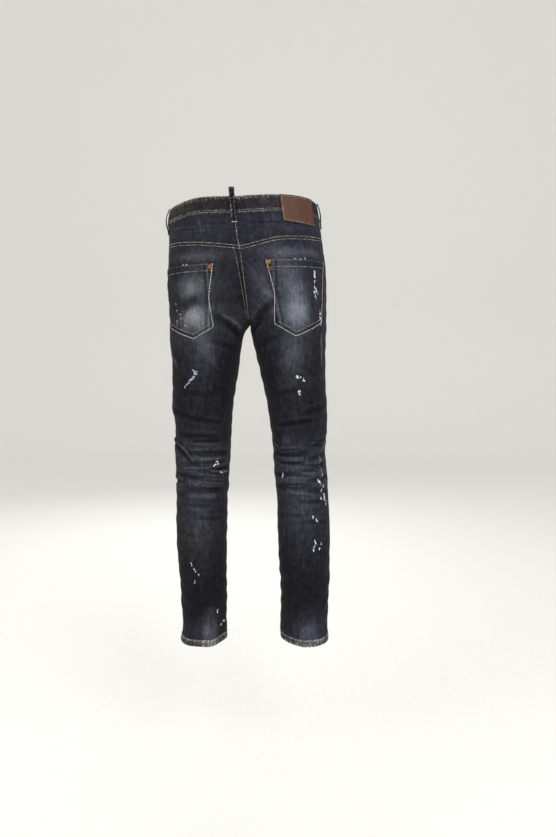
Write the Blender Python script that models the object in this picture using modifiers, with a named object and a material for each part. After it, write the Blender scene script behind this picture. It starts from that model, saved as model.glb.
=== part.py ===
"""Slim five-pocket jeans, held in their worn shape: hollow, open at the waist and at both hems.

Metres, +Z up, the wearer faces -Y and the wearer's left is +X. The origin is the middle of the waist opening.
Every cloth piece is a thin wall lofted over one surface, which is worked out from the tables below.
"""

import math

import bmesh
import bpy
import numpy as np
from mathutils import Vector

# Cloth and seams
DENIM_WALL = 0.0015
BAND_WALL = 0.0030
BAND_PROUD = 0.0010
SEAM_GAP = 0.0003
SIDE_SEAM_DEGREES = 10.0

# Heights
CROTCH = -0.266
THIGH_LINE = -0.365
KNEE_TOP = -0.500
KNEE_BOTTOM = -0.645
HEM_TOP = -0.9615
HEM_BOTTOM = -0.9765
HEM_TILT = 0.0025
WAISTBAND_HEIGHT = 0.0365

# How high above the crotch each rise curve runs, and how fast it turns under
BACK_RISE_HEIGHT = 0.170
FRONT_RISE_HEIGHT = 0.110
RISE_POWER = 1.6
SEAT_BRIDGE = 0.034

# Widths of the trunk, and how far it reaches to the front and the back, at each height
TRUNK_COLUMNS = ("height", "left", "right", "centre", "front", "back")
TRUNK = [
    (0.040, 0.1580, -0.1590, 0.0130, -0.1000, 0.1080),
    (0.000, 0.1637, -0.1645, 0.0111, -0.1040, 0.1120),
    (-0.035, 0.1710, -0.1706, 0.0070, -0.1080, 0.1150),
    (-0.070, 0.1691, -0.1762, 0.0021, -0.1110, 0.1190),
    (-0.110, 0.1697, -0.1812, -0.0045, -0.1130, 0.1250),
    (-0.150, 0.1693, -0.1849, -0.0104, -0.1140, 0.1310),
    (-0.190, 0.1709, -0.1867, -0.0154, -0.1140, 0.1320),
    (-0.230, 0.1675, -0.1867, -0.0176, -0.1120, 0.1240),
    (-0.266, 0.1687, -0.1866, -0.0137, -0.1080, 0.1030),
]

# Outer and inner side of each leg, and how far the legs reach to the front and the back
LEG_COLUMNS = ("height", "left_out", "left_in", "right_in", "right_out", "front", "back")
LEGS = [
    (-0.266, 0.1687, -0.0137, -0.0137, -0.1866, -0.1080, 0.1030),
    (-0.285, 0.1686, -0.0004, -0.0158, -0.1859, -0.1060, 0.0950),
    (-0.320, 0.1673, 0.0083, -0.0240, -0.1849, -0.1025, 0.0860),
    (-0.365, 0.1645, 0.0137, -0.0348, -0.1847, -0.0995, 0.0800),
    (-0.410, 0.1643, 0.0211, -0.0452, -0.1854, -0.0965, 0.0755),
    (-0.456, 0.1647, 0.0277, -0.0539, -0.1882, -0.0925, 0.0705),
    (-0.500, 0.1577, 0.0304, -0.0609, -0.1881, -0.0870, 0.0645),
    (-0.547, 0.1593, 0.0324, -0.0660, -0.1844, -0.0810, 0.0595),
    (-0.600, 0.1563, 0.0351, -0.0691, -0.1874, -0.0740, 0.0585),
    (-0.661, 0.1542, 0.0386, -0.0755, -0.1915, -0.0670, 0.0620),
    (-0.720, 0.1534, 0.0391, -0.0773, -0.1942, -0.0610, 0.0660),
    (-0.780, 0.1509, 0.0400, -0.0789, -0.1940, -0.0570, 0.0660),
    (-0.843, 0.1449, 0.0400, -0.0835, -0.1931, -0.0550, 0.0630),
    (-0.900, 0.1415, 0.0395, -0.0842, -0.1903, -0.0540, 0.0590),
    (-0.950, 0.1389, 0.0405, -0.0827, -0.1884, -0.0545, 0.0570),
    (-0.978, 0.1423, 0.0390, -0.0830, -0.1909, -0.0560, 0.0580),
]

# Squareness of the section: 2 is an ellipse, more is fuller and less is flatter
FULLNESS_COLUMNS = ("height", "outer", "left_inner", "right_inner")
FULLNESS = [
    (0.040, 2.20, 2.0, 2.0),
    (-0.266, 2.20, 2.0, 2.0),
    (-0.700, 2.15, 2.0, 2.0),
    (-0.880, 2.20, 1.9, 1.8),
    (-0.978, 2.40, 1.65, 1.42),
]

# Top edge of the waistband, by degrees from the side: 90 is the centre back and -90 the centre front
WAIST_COLUMNS = ("degrees", "left", "right")
WAIST = [
    (-90, -0.0250, -0.0250),
    (-35, -0.0180, -0.0100),
    (0, -0.0115, -0.0005),
    (18, -0.0100, 0.0035),
    (35, -0.0070, 0.0058),
    (58, 0.0000, 0.0060),
    (90, 0.0000, 0.0000),
]

# Yoke seam, by degrees from the side
YOKE_COLUMNS = ("degrees", "left", "right")
YOKE = [
    (0, -0.0905, -0.0765),
    (20, -0.0910, -0.0785),
    (45, -0.0925, -0.0810),
    (67, -0.0970, -0.0870),
    (80, -0.1015, -0.0975),
    (90, -0.1055, -0.1060),
]

# Folds, each a soft trough from one point to another. Degrees run from the outer side over the back to the
# inseam, and over the front where negative; heights, widths and depths are in metres
FOLD_COLUMNS = ("side", "from_degrees", "from_height", "to_degrees", "to_height", "width", "depth")
FOLDS = [
    ("left", 50, -0.512, 135, -0.519, 0.0065, 0.0030),
    ("left", 8, -0.513, 80, -0.572, 0.0060, 0.0034),
    ("left", 75, -0.550, 165, -0.556, 0.0060, 0.0036),
    ("left", 60, -0.577, 150, -0.572, 0.0050, 0.0028),
    ("left", 85, -0.592, 172, -0.587, 0.0050, 0.0034),
    ("left", 20, -0.600, 110, -0.608, 0.0055, 0.0030),
    ("left", 5, -0.622, 60, -0.616, 0.0050, 0.0026),
    ("left", 70, -0.630, 150, -0.636, 0.0055, 0.0028),
    ("left", 25, -0.648, 120, -0.645, 0.0060, 0.0020),
    ("right", 5, -0.520, 60, -0.534, 0.0060, 0.0030),
    ("right", 70, -0.548, 170, -0.556, 0.0060, 0.0036),
    ("right", 20, -0.553, 70, -0.566, 0.0055, 0.0026),
    ("right", 80, -0.574, 150, -0.568, 0.0050, 0.0030),
    ("right", 25, -0.577, 85, -0.585, 0.0055, 0.0030),
    ("right", 95, -0.597, 168, -0.603, 0.0055, 0.0034),
    ("right", 5, -0.604, 75, -0.611, 0.0055, 0.0028),
    ("right", 70, -0.622, 165, -0.628, 0.0060, 0.0030),
    ("right", 15, -0.638, 80, -0.630, 0.0060, 0.0022),
    ("left", -25, -0.524, -130, -0.540, 0.0080, 0.0030),
    ("left", -60, -0.566, -165, -0.556, 0.0075, 0.0026),
    ("left", -20, -0.590, -120, -0.598, 0.0080, 0.0032),
    ("left", -70, -0.630, -150, -0.622, 0.0080, 0.0024),
    ("right", -35, -0.536, -150, -0.524, 0.0080, 0.0030),
    ("right", -15, -0.562, -100, -0.574, 0.0075, 0.0028),
    ("right", -60, -0.604, -165, -0.592, 0.0080, 0.0032),
    ("right", -20, -0.618, -110, -0.634, 0.0080, 0.0024),
    ("left", 92, -0.247, 158, -0.288, 0.0090, 0.0026),
    ("right", 90, -0.216, 150, -0.276, 0.0090, 0.0026),
    ("left", -60, -0.300, -150, -0.262, 0.0130, 0.0036),
    ("right", -60, -0.296, -150, -0.258, 0.0130, 0.0036),
    ("left", -20, -0.235, -80, -0.215, 0.0130, 0.0028),
    ("right", -20, -0.240, -80, -0.222, 0.0130, 0.0028),
    ("left", 118, -0.890, 118, -1.010, 0.0180, -0.0050),
]

# Back pocket corners: distances round the seat, outwards from POCKET_LINE, and heights
POCKET_WALL = 0.0014
POCKET_GAP = 0.0005
POCKET_LINE = 0.055
POCKET_COLUMNS = ("distance", "height")
POCKET = {
    "left": [
        (-0.0035, -0.1455),
        (0.0050, -0.2170),
        (0.0005, -0.2750),
        (0.0460, -0.3025),
        (0.1190, -0.2765),
        (0.1460, -0.1470),
    ],
    "right": [
        (0.0020, -0.1385),
        (0.0200, -0.2050),
        (0.0215, -0.2695),
        (0.0690, -0.2970),
        (0.1400, -0.2660),
        (0.1525, -0.1330),
    ],
}

# Front pocket opening, a quarter of an ellipse between the waistband and the side seam
OPENING_WIDTH = 0.105
OPENING_DEPTH = 0.078
OPENING_START = 0.003

# Waistband overlap at the centre front
UNDERLAP_LENGTH = 0.035
OVERLAP_LENGTH = 0.012
LAP_RAMP = 0.024
LAP_DEPTH = 0.0034

# Leather patch corners on the right back: distances from the centre seam, and heights
PATCH_INNER = (0.0990, 0.0985)
PATCH_OUTER = (0.1830, 0.1770)
PATCH_FOOT = (-0.0520, -0.0575)
PATCH_WALL = 0.0012
PATCH_LIFT = 0.0014

# Belt loops: each rests on the band at its ends and stands off it between them
LOOP_WALL = 0.0016
LOOP_WIDTH = 0.012
LOOP_COLUMNS = ("below_band_top", "lift")
LOOP_PROFILE = [
    (-0.0010, 0.0016),
    (0.0040, 0.0024),
    (0.0100, 0.0038),
    (0.0200, 0.0044),
    (0.0300, 0.0038),
    (0.0370, 0.0026),
    (0.0450, 0.0012),
    (0.0550, 0.0005),
]
CENTRE_LOOP_PROFILE = [
    (-0.0190, 0.0026),
    (-0.0090, 0.0018),
    (0.0000, 0.0016),
    (0.0080, 0.0034),
    (0.0200, 0.0046),
    (0.0300, 0.0040),
    (0.0400, 0.0028),
    (0.0490, 0.0014),
    (0.0580, 0.0005),
]
CENTRE_LOOP_DEGREES = 89.0
SIDE_LOOP_DEGREES = {"left": 12.0, "right": 6.0}
FRONT_LOOP_DEGREES = -52.0

# Waist button: outline of half its section, radius and distance from the band
BUTTON_PROFILE = [
    (0.0000, 0.0040),
    (0.0050, 0.0038),
    (0.0064, 0.0042),
    (0.0082, 0.0036),
    (0.0086, 0.0022),
    (0.0074, 0.0012),
    (0.0030, 0.0009),
    (0.0028, 0.0000),
    (0.0000, 0.0000),
]
BUTTON_STEPS = 24
BUTTON_GAP = 0.0004

# Mesh density
PANEL_COLUMNS = 10
SEAT_ROWS = 9
CROTCH_ROWS = 5
KNEE_ROWS = 26
THIGH_ROWS = 4
CALF_ROWS = 9
FRONT_SEAT_ROWS = 5
OPENING_ROWS = 6
FACING_COLUMNS = 3
YOKE_ROWS = 3
BAND_COLUMNS = 22
HEM_COLUMNS = 24

SIDES = {"left": 1, "right": -1}


def clear_scene():
    for obj in list(bpy.data.objects):
        bpy.data.objects.remove(obj, do_unlink=True)


def material(name, colour, roughness, metallic=0.0):
    made = bpy.data.materials.new(name)
    made.use_nodes = True
    shader = made.node_tree.nodes["Principled BSDF"]
    shader.inputs["Base Color"].default_value = (*colour, 1.0)
    shader.inputs["Roughness"].default_value = roughness
    shader.inputs["Metallic"].default_value = metallic
    return made


def smooth_curve(stations, values, at):
    """Values at any place, on a smooth curve through the values at the rising stations."""
    slopes = np.gradient(values, stations)
    at = np.asarray(at, float)
    i = np.clip(np.searchsorted(stations, at) - 1, 0, len(stations) - 2)
    span = stations[i + 1] - stations[i]
    t = np.clip((at - stations[i]) / span, 0.0, 1.0)
    return (
        (1 + 2 * t) * (1 - t) ** 2 * values[i]
        + t * (1 - t) ** 2 * span * slopes[i]
        + t * t * (3 - 2 * t) * values[i + 1]
        + t * t * (t - 1) * span * slopes[i + 1]
    )


def column(table, columns, name, height):
    """A table's column at any height."""
    rows = np.array(table, float)[::-1]
    return smooth_curve(rows[:, 0], rows[:, columns.index(name)], height)


def leg_share(height, rise):
    """0 where the trunk is one tube, 1 from the crotch down, where it is two legs."""
    climbed = np.clip((np.asarray(height, float) - CROTCH) / rise, 0.0, 1.0)
    return (1 - climbed) ** RISE_POWER


def side_limits(side, height):
    """The outermost and the innermost x of one half of the jeans."""
    height = np.asarray(height, float)
    above = height > CROTCH
    out = np.where(
        above,
        column(TRUNK, TRUNK_COLUMNS, side, height),
        column(LEGS, LEG_COLUMNS, side + "_out", height),
    )
    inner = np.where(
        above,
        column(TRUNK, TRUNK_COLUMNS, "centre", height),
        column(LEGS, LEG_COLUMNS, side + "_in", height),
    )
    return out, inner + SIDES[side] * SEAM_GAP / 2


def depth_limits(height):
    """How far the section reaches to the front and to the back."""
    height = np.asarray(height, float)
    above = height > CROTCH
    return [
        np.where(
            above,
            column(TRUNK, TRUNK_COLUMNS, name, height),
            column(LEGS, LEG_COLUMNS, name, height),
        )
        for name in ("front", "back")
    ]


def inner_angle(side, height, back):
    """The angle, from the outer side, where the section meets the centre seam or the inseam."""
    rise = np.where(back, BACK_RISE_HEIGHT, FRONT_RISE_HEIGHT)
    fullness = column(FULLNESS, FULLNESS_COLUMNS, side + "_inner", height)
    share = np.minimum(leg_share(height, rise), 1.0)
    return math.pi - np.arccos(np.clip(share ** (fullness / 2), 0.0, 1.0))


def bare_surface(side, angle, height):
    """The jeans' outer surface without folds. Angles are radians from the outer side, positive to the back."""
    angle, height = np.broadcast_arrays(np.asarray(angle, float), np.asarray(height, float))
    angle = (angle + math.pi) % (2 * math.pi) - math.pi
    back = angle >= 0
    out, inner = side_limits(side, height)
    front_y, back_y = depth_limits(height)
    middle_y = (front_y + back_y) / 2
    share = leg_share(height, np.where(back, BACK_RISE_HEIGHT, FRONT_RISE_HEIGHT))
    half_width = (out - inner) / (1 + share)
    centre = out - half_width
    cosine, sine = np.cos(angle), np.abs(np.sin(angle))
    outer_part = cosine >= 0
    fullness = np.where(
        outer_part,
        column(FULLNESS, FULLNESS_COLUMNS, "outer", height),
        column(FULLNESS, FULLNESS_COLUMNS, side + "_inner", height),
    )
    x = centre + half_width * np.sign(cosine) * np.abs(cosine) ** (2 / fullness)
    reach = np.where(back, back_y, front_y) - middle_y
    y = middle_y + reach * sine ** (2 / fullness)
    # The cloth spans the hollow beside the centre seam
    near = np.clip(1 - np.abs(x - inner) / SEAT_BRIDGE, 0.0, 1.0)
    steep = np.clip(share / np.sqrt(np.maximum(1 - share**2, 0.02)), 0.0, 1.1)
    spans = np.clip((1 - share) / 0.35, 0.0, 1.0) * (height > CROTCH)
    y = y + np.sign(reach) * 0.5 * SEAT_BRIDGE * steep * spans * near**2
    return np.stack([x, y, height], axis=-1)


def surface_normal(side, angle, height):
    step_angle, step_height = 0.02, 0.004
    ahead, behind = (bare_surface(side, angle + s * step_angle, height) for s in (1, -1))
    above, below = (bare_surface(side, angle, height + s * step_height) for s in (1, -1))
    normal = np.cross(ahead - behind, above - below) * SIDES[side]
    return normal / np.linalg.norm(normal, axis=-1, keepdims=True)


def fold_depth(side, angle, height):
    """How far the folds push the cloth out. Each is a trough with a low ridge on both sides."""
    angle, height = np.broadcast_arrays(np.asarray(angle, float), np.asarray(height, float))
    front_y, back_y = depth_limits(height)
    out, inner = side_limits(side, height)
    radius = (back_y - front_y + np.abs(out - inner)) / 4
    total = np.zeros(height.shape)
    for fold_side, from_degrees, from_height, to_degrees, to_height, width, depth in FOLDS:
        if fold_side != side:
            continue
        start, end = math.radians(from_degrees), math.radians(to_degrees)
        run = (end - start) * radius
        climb = to_height - from_height
        length = np.hypot(run, climb)
        across_x = (angle - start) * radius
        across_z = height - from_height
        along = (across_x * run + across_z * climb) / length**2
        away = (across_x * climb - across_z * run) / length
        inside = np.clip(np.minimum(along, 1 - along) / 0.3 + 0.35, 0.0, 1.0)
        taper = inside * inside * (3 - 2 * inside)
        trough = np.exp(-((away / width) ** 2))
        ridge = np.exp(-(((np.abs(away) - 1.7 * width) / width) ** 2))
        total += depth * taper * (0.45 * ridge - trough)
    return total


def cloth_point(side, angle, height, lift=0.0):
    """A point of the cloth's outer face, moved out by lift. Neither half crosses the centre seam."""
    push = np.asarray(fold_depth(side, angle, height) + lift)[..., None]
    point = bare_surface(side, angle, height) + push * surface_normal(side, angle, height)
    sign = SIDES[side]
    seam = np.where(np.asarray(height) > CROTCH - 0.001, sign * side_limits(side, height)[1], -1.0)
    point[..., 0] = sign * np.maximum(sign * point[..., 0], seam)
    return point


def line_height(table, columns, side, angle):
    """The height of a seam line that runs round the waist or the seat, at any angle."""
    rows = np.array(table, float)
    rows[:, 0] = np.radians(rows[:, 0])
    return smooth_curve(rows[:, 0], rows[:, columns.index(side)], angle)


def waist_top(side, angle):
    return line_height(WAIST, WAIST_COLUMNS, side, angle)


def waistband_bottom(side, angle):
    return waist_top(side, angle) - WAISTBAND_HEIGHT


def yoke_line(side, angle):
    return line_height(YOKE, YOKE_COLUMNS, side, angle)


def hem_shift(side):
    return -SIDES[side] * HEM_TILT


def wall(name, outer, inner, made_of, ring=False):
    """A closed cloth wall between two grids of points. A ring's last column meets its first."""
    bm = bmesh.new()
    faces = [[[bm.verts.new(point) for point in row] for row in layer] for layer in (outer, inner)]
    rows, columns = outer.shape[:2]
    last = columns if ring else columns - 1
    for r in range(rows - 1):
        for c in range(last):
            n = (c + 1) % columns
            for layer in faces:
                bm.faces.new((layer[r][c], layer[r][n], layer[r + 1][n], layer[r + 1][c]))
    for r in (0, rows - 1):
        for c in range(last):
            n = (c + 1) % columns
            bm.faces.new((faces[0][r][c], faces[0][r][n], faces[1][r][n], faces[1][r][c]))
    if not ring:
        for c in (0, columns - 1):
            for r in range(rows - 1):
                bm.faces.new((faces[0][r][c], faces[0][r + 1][c], faces[1][r + 1][c], faces[1][r][c]))
    bmesh.ops.recalc_face_normals(bm, faces=bm.faces)
    return link_mesh(name, bm, made_of)


def link_mesh(name, bm, made_of):
    mesh = bpy.data.meshes.new(name)
    bm.to_mesh(mesh)
    bm.free()
    mesh.shade_smooth()
    mesh.set_sharp_from_angle(angle=math.radians(40))
    mesh.materials.append(made_of)
    obj = bpy.data.objects.new(name, mesh)
    PARTS.objects.link(obj)
    return obj


def cloth_wall(name, side, angles, heights, made_of, proud=0.0, thick=DENIM_WALL):
    """A wall over the grid of angles and heights, its outer face lifted by proud."""
    outer = cloth_point(side, angles, heights, proud)
    inner = cloth_point(side, angles, heights, proud - thick)
    return wall(name, outer, inner, made_of)


def inset_columns(side, angles, heights):
    """The first and last column moved in by half the seam gap."""
    angles = angles.copy()
    for edge, beside in ((0, 1), (-1, -2)):
        a, b = angles[:, edge], angles[:, beside]
        length = np.linalg.norm(
            bare_surface(side, a, heights[:, edge]) - bare_surface(side, b, heights[:, beside]), axis=-1
        )
        angles[:, edge] = a + (b - a) * SEAM_GAP / 2 / length
    return angles


def spread_rows(outer_heights, inner_heights, share):
    """Heights of rows that run from the outer stations, at share 0, to the inner stations, at share 1."""
    outer_heights, inner_heights = np.array(outer_heights)[:, None], np.array(inner_heights)[:, None]
    return outer_heights + (inner_heights - outer_heights) * share[None, :] ** 1.3


def below_crotch():
    """Stations on the inseam from the crotch to the thigh line, closest at the crotch."""
    share = np.linspace(0, 1, CROTCH_ROWS + 1)[1:]
    return CROTCH + (THIGH_LINE - CROTCH) * share**1.9


def leg_stations(side):
    return np.concatenate(
        [
            np.linspace(THIGH_LINE, KNEE_TOP, THIGH_ROWS + 1)[1:],
            np.linspace(KNEE_TOP, KNEE_BOTTOM, KNEE_ROWS + 1)[1:],
            np.linspace(KNEE_BOTTOM, HEM_TOP + hem_shift(side) + SEAM_GAP / 2, CALF_ROWS + 1)[1:],
        ]
    )


def back_panel_grid(side):
    """Angles and heights of the back panel's points, from the yoke to the hem."""
    share = np.linspace(0, 1, PANEL_COLUMNS + 1)
    seam = math.radians(SIDE_SEAM_DEGREES)
    down = np.linspace(0, 1, SEAT_ROWS + 1)
    rise_stations = CROTCH + (float(yoke_line(side, math.pi / 2)) - CROTCH) * (1 - down) ** 1.5
    inner = np.concatenate([rise_stations, below_crotch()])
    outer = np.linspace(float(yoke_line(side, seam)), THIGH_LINE, len(inner))
    heights = spread_rows(outer, inner, share)
    top_angles = seam + share * (math.pi / 2 - seam)
    fade = np.clip(1 - np.arange(len(inner)) / (SEAT_ROWS - 2), 0, 1)[:, None] ** 1.5
    heights += fade * (yoke_line(side, top_angles) - heights[0])[None, :]
    heights[0] -= SEAM_GAP / 2
    heights = np.vstack([heights, np.repeat(leg_stations(side)[:, None], len(share), axis=1)])
    last = inner_angle(side, heights, True)
    angles = seam + share[None, :] * (last - seam)
    return inset_columns(side, angles, heights), heights


def make_back_panel(side, denim):
    angles, heights = back_panel_grid(side)
    return cloth_wall(f"back_{side}", side, angles, heights, denim)


def opening_curve(side):
    """The front pocket opening, from the side seam up to the waistband."""
    seam = math.radians(SIDE_SEAM_DEGREES)
    turn = np.linspace(0, math.pi / 2, OPENING_ROWS + 1)
    across = OPENING_START + (OPENING_WIDTH - OPENING_START) * np.sin(turn)
    up = OPENING_DEPTH * (1 - np.cos(turn))
    bottom = float(waistband_bottom(side, seam)) - OPENING_DEPTH
    angles = np.array([angle_at(side, seam, a, bottom + u, -1) for a, u in zip(across, up)])
    top = waistband_bottom(side, angles[-1])
    heights = bottom + (top - bottom) * up / OPENING_DEPTH
    seam_heights = np.linspace(bottom, float(waistband_bottom(side, seam)), OPENING_ROWS + 1)
    return angles, heights, seam_heights


def angle_at(side, start, distance, height, way):
    """The angle that far round the section from start. Way is 1 to the back, -1 to the front."""
    angles = start + way * np.linspace(0, math.pi * 0.75, 400)
    points = bare_surface(side, angles, height)
    steps = np.linalg.norm(np.diff(points, axis=0), axis=1)
    lengths = np.concatenate([[0.0], np.cumsum(steps)])
    return float(np.interp(distance, lengths, angles))


def front_angles(side, starts, heights, share):
    """Angles from each row's start round the front to the centre seam or the inseam."""
    ends = -inner_angle(side, heights, False)
    return starts[:, None] + share[None, :] * (ends - starts[:, None])


def front_panel_grids(side):
    """Angles and heights of the front panel and of the pocket facing beside its opening."""
    share = np.linspace(0, 1, PANEL_COLUMNS + 1)
    seam = math.radians(SIDE_SEAM_DEGREES)
    open_angles, open_heights, seam_heights = opening_curve(side)
    top_inner = float(waistband_bottom(side, -math.pi / 2))
    # Rows of the opening, top first
    open_inner = np.linspace(top_inner, top_inner - 0.062, OPENING_ROWS + 1)
    open_outer = open_heights[::-1]
    start_angles = open_angles[::-1]
    down = np.linspace(0, 1, FRONT_SEAT_ROWS + 1)[1:]
    seat_inner = CROTCH + (open_inner[-1] - CROTCH) * (1 - down) ** 1.7
    lower_inner = np.concatenate([seat_inner, below_crotch()])
    lower_outer = np.linspace(open_outer[-1], THIGH_LINE, len(lower_inner) + 1)[1:]
    inner = np.concatenate([open_inner, lower_inner])
    outer = np.concatenate([open_outer, lower_outer])
    starts = np.concatenate([start_angles, np.full(len(lower_inner), seam)])
    heights = spread_rows(outer, inner, share)
    angles = front_angles(side, starts, heights, share)
    fade = np.clip(1 - np.arange(len(inner)) / OPENING_ROWS, 0, 1)[:, None] ** 1.5
    heights += fade * (waistband_bottom(side, angles[0]) - heights[0])[None, :]
    heights[0] -= SEAM_GAP / 2
    leg = np.repeat(leg_stations(side)[:, None], len(share), axis=1)
    heights = np.vstack([heights, leg])
    starts = np.concatenate([starts, np.full(len(leg), seam)])
    angles = front_angles(side, starts, heights, share)

    across = np.linspace(0, 1, FACING_COLUMNS + 1)
    facing_angles = seam + across[None, :] * (start_angles[:, None] - seam)
    seam_rows = seam_heights[::-1][:, None]
    facing_heights = seam_rows + across[None, :] * (open_outer[:, None] - seam_rows)
    facing_heights[0] = waistband_bottom(side, facing_angles[0]) - SEAM_GAP / 2
    return (
        inset_columns(side, angles, heights),
        heights,
        inset_columns(side, facing_angles, facing_heights),
        facing_heights,
    )


def make_front_panel(side, denim):
    angles, heights, facing_angles, facing_heights = front_panel_grids(side)
    cloth_wall(f"front_{side}", side, angles, heights, denim)
    cloth_wall(f"pocket_facing_{side}", side, facing_angles, facing_heights, denim)


def make_yoke(side, denim):
    share = np.linspace(0, 1, PANEL_COLUMNS + 1)
    seam = math.radians(SIDE_SEAM_DEGREES)
    seam_line = seam + share * (math.pi / 2 - seam)
    top = waistband_bottom(side, seam_line) - SEAM_GAP / 2
    bottom = yoke_line(side, seam_line) + SEAM_GAP / 2
    down = np.linspace(0, 1, YOKE_ROWS + 1)[:, None]
    heights = top + (bottom - top) * down
    angles = seam + share * (inner_angle(side, heights, True) - seam)
    return cloth_wall(f"yoke_{side}", side, inset_columns(side, angles, heights), heights, denim)


def make_waistband(denim):
    """One strip from the underlap at the centre front, round the back, to the overlap."""
    quarter = math.pi / 2
    stations = []
    for distance in np.linspace(UNDERLAP_LENGTH, 0.008, 3):
        stations.append(("left", -quarter, distance, -LAP_DEPTH))
    for distance in np.linspace(0.006, OVERLAP_LENGTH + 0.003, 2):
        stations.append(("right", -quarter, distance, -LAP_DEPTH))
    places = []
    for side, start, distance, lift in stations:
        places.append((side, angle_at(side, start, distance, -0.04, 1), lift))
    first = angle_at("right", -quarter, OVERLAP_LENGTH + LAP_RAMP, -0.04, 1)
    for angle in np.linspace(first, quarter, BAND_COLUMNS):
        places.append(("right", float(angle), 0.0))
    for angle in np.linspace(quarter, -quarter, BAND_COLUMNS + 1)[1:]:
        places.append(("left", float(angle), 0.0))
    places.append(("right", angle_at("right", -quarter, OVERLAP_LENGTH, -0.04, 1), 0.0))
    outer, inner = [], []
    for side, angle, lift in places:
        top, bottom = float(waist_top(side, angle)), float(waistband_bottom(side, angle)) + SEAM_GAP / 2
        heights = np.array([top, (top + bottom) / 2, bottom])
        outer.append(cloth_point(side, angle, heights, BAND_PROUD + lift))
        inner.append(cloth_point(side, angle, heights, BAND_PROUD + lift - BAND_WALL))
    outer, inner = np.array(outer).transpose(1, 0, 2), np.array(inner).transpose(1, 0, 2)
    return wall("waistband", outer, inner, denim)


def make_hem(side, denim):
    """The turned-up hem, a ring round the leg's end."""
    angles = np.linspace(-math.pi, math.pi, HEM_COLUMNS, endpoint=False)
    heights = np.array([HEM_TOP - SEAM_GAP / 2, (HEM_TOP + HEM_BOTTOM) / 2, HEM_BOTTOM]) + hem_shift(side)
    grid_angles, grid_heights = np.meshgrid(angles, heights)
    outer = cloth_point(side, grid_angles, grid_heights, BAND_PROUD)
    inner = cloth_point(side, grid_angles, grid_heights, BAND_PROUD - BAND_WALL)
    return wall(f"hem_{side}", outer, inner, denim, ring=True)


def seat_distance(side, angle, height):
    """How far a point lies round the seat, outwards from the pocket line."""
    angles = np.linspace(0, float(inner_angle(side, height, True)), 200)
    section = bare_surface(side, angles, height)
    steps = np.linalg.norm(np.diff(section, axis=0), axis=1)
    lengths = np.concatenate([[0.0], np.cumsum(steps)])
    line = np.interp(-POCKET_LINE, -SIDES[side] * section[:, 0], lengths)
    return float(line - np.interp(angle, angles, lengths))


def make_back_pocket(side, denim):
    """The back panel's own outer face, cut to the pocket's outline as it lies flat, and moved out."""
    angles, heights = back_panel_grid(side)
    near = slice(0, int(np.argmax(heights[:, -1] < -0.345)))
    angles, heights = angles[near], heights[near]
    places = cloth_point(side, angles, heights)
    bm = bmesh.new()
    place = bm.verts.layers.float_vector.new("place")
    verts = []
    for angle_row, height_row, place_row in zip(angles, heights, places):
        verts.append([])
        for angle, height, point in zip(angle_row, height_row, place_row):
            vert = bm.verts.new((seat_distance(side, angle, height), height, 0.0))
            vert[place] = Vector(point)
            verts[-1].append(vert)
    for upper, lower in zip(verts, verts[1:]):
        for c in range(len(upper) - 1):
            bm.faces.new((upper[c], upper[c + 1], lower[c + 1], lower[c]))
    corners = [Vector((distance, height, 0.0)) for distance, height in POCKET[side]]
    middle = sum(corners, Vector()) / len(corners)
    for start, end in zip(corners, corners[1:] + corners[:1]):
        outward = (end - start).cross(Vector((0, 0, 1)))
        if outward.dot(middle - start) > 0:
            outward.negate()
        everything = bm.verts[:] + bm.edges[:] + bm.faces[:]
        bmesh.ops.bisect_plane(
            bm, geom=everything, dist=1e-6, plane_co=start, plane_no=outward, clear_outer=True
        )
    for vert in bm.verts:
        vert.co = vert[place]
    bmesh.ops.remove_doubles(bm, verts=bm.verts, dist=0.0001)
    bmesh.ops.recalc_face_normals(bm, faces=bm.faces)
    bm.normal_update()
    first = bm.faces[:][0]
    if first.normal.dot(first.calc_center_median() - Vector((SIDES[side] * 0.08, 0, -0.2))) < 0:
        bmesh.ops.reverse_faces(bm, faces=bm.faces)
        bm.normal_update()
    for vert in bm.verts:
        vert.co += vert.normal * POCKET_GAP
    pocket = link_mesh(f"back_pocket_{side}", bm, denim)
    solidify = pocket.modifiers.new("Cloth", "SOLIDIFY")
    solidify.thickness = POCKET_WALL
    solidify.offset = 1.0
    return pocket


def make_patch(leather):
    """The leather patch on the right back, over the waistband and the top of the yoke."""
    columns, rows = 8, 4
    quarter = math.pi / 2
    outer, inner = [], []
    for down in np.linspace(0, 1, rows + 1):
        start = PATCH_INNER[0] + (PATCH_INNER[1] - PATCH_INNER[0]) * down
        end = PATCH_OUTER[0] + (PATCH_OUTER[1] - PATCH_OUTER[0]) * down
        distances = np.linspace(start, end, columns + 1)
        angles = np.array([angle_at("right", quarter, d, -0.02, -1) for d in distances])
        top = waist_top("right", angles) - SEAM_GAP
        heights = top + (np.linspace(*PATCH_FOOT, columns + 1) - top) * down
        outer.append(cloth_point("right", angles, heights, PATCH_LIFT + PATCH_WALL))
        inner.append(cloth_point("right", angles, heights, PATCH_LIFT))
    return wall("leather_patch", np.array(outer), np.array(inner), leather)


def make_loop(name, side, angle, profile, denim):
    """A belt loop: a strip down the band, standing off it between its two ends."""
    top = float(waist_top(side, angle))
    outer, inner = [], []
    for below, lift in profile:
        height = top - below
        middle = bare_surface(side, angle, height)
        normal = surface_normal(side, angle, height)
        along = np.array([-normal[1], normal[0], 0.0])
        along /= np.linalg.norm(along)
        edges = [middle + along * LOOP_WIDTH * share for share in (-0.5, 0.0, 0.5)]
        outer.append([p + normal * (lift + LOOP_WALL) for p in edges])
        inner.append([p + normal * lift for p in edges])
    return wall(name, np.array(outer), np.array(inner), denim)


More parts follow.
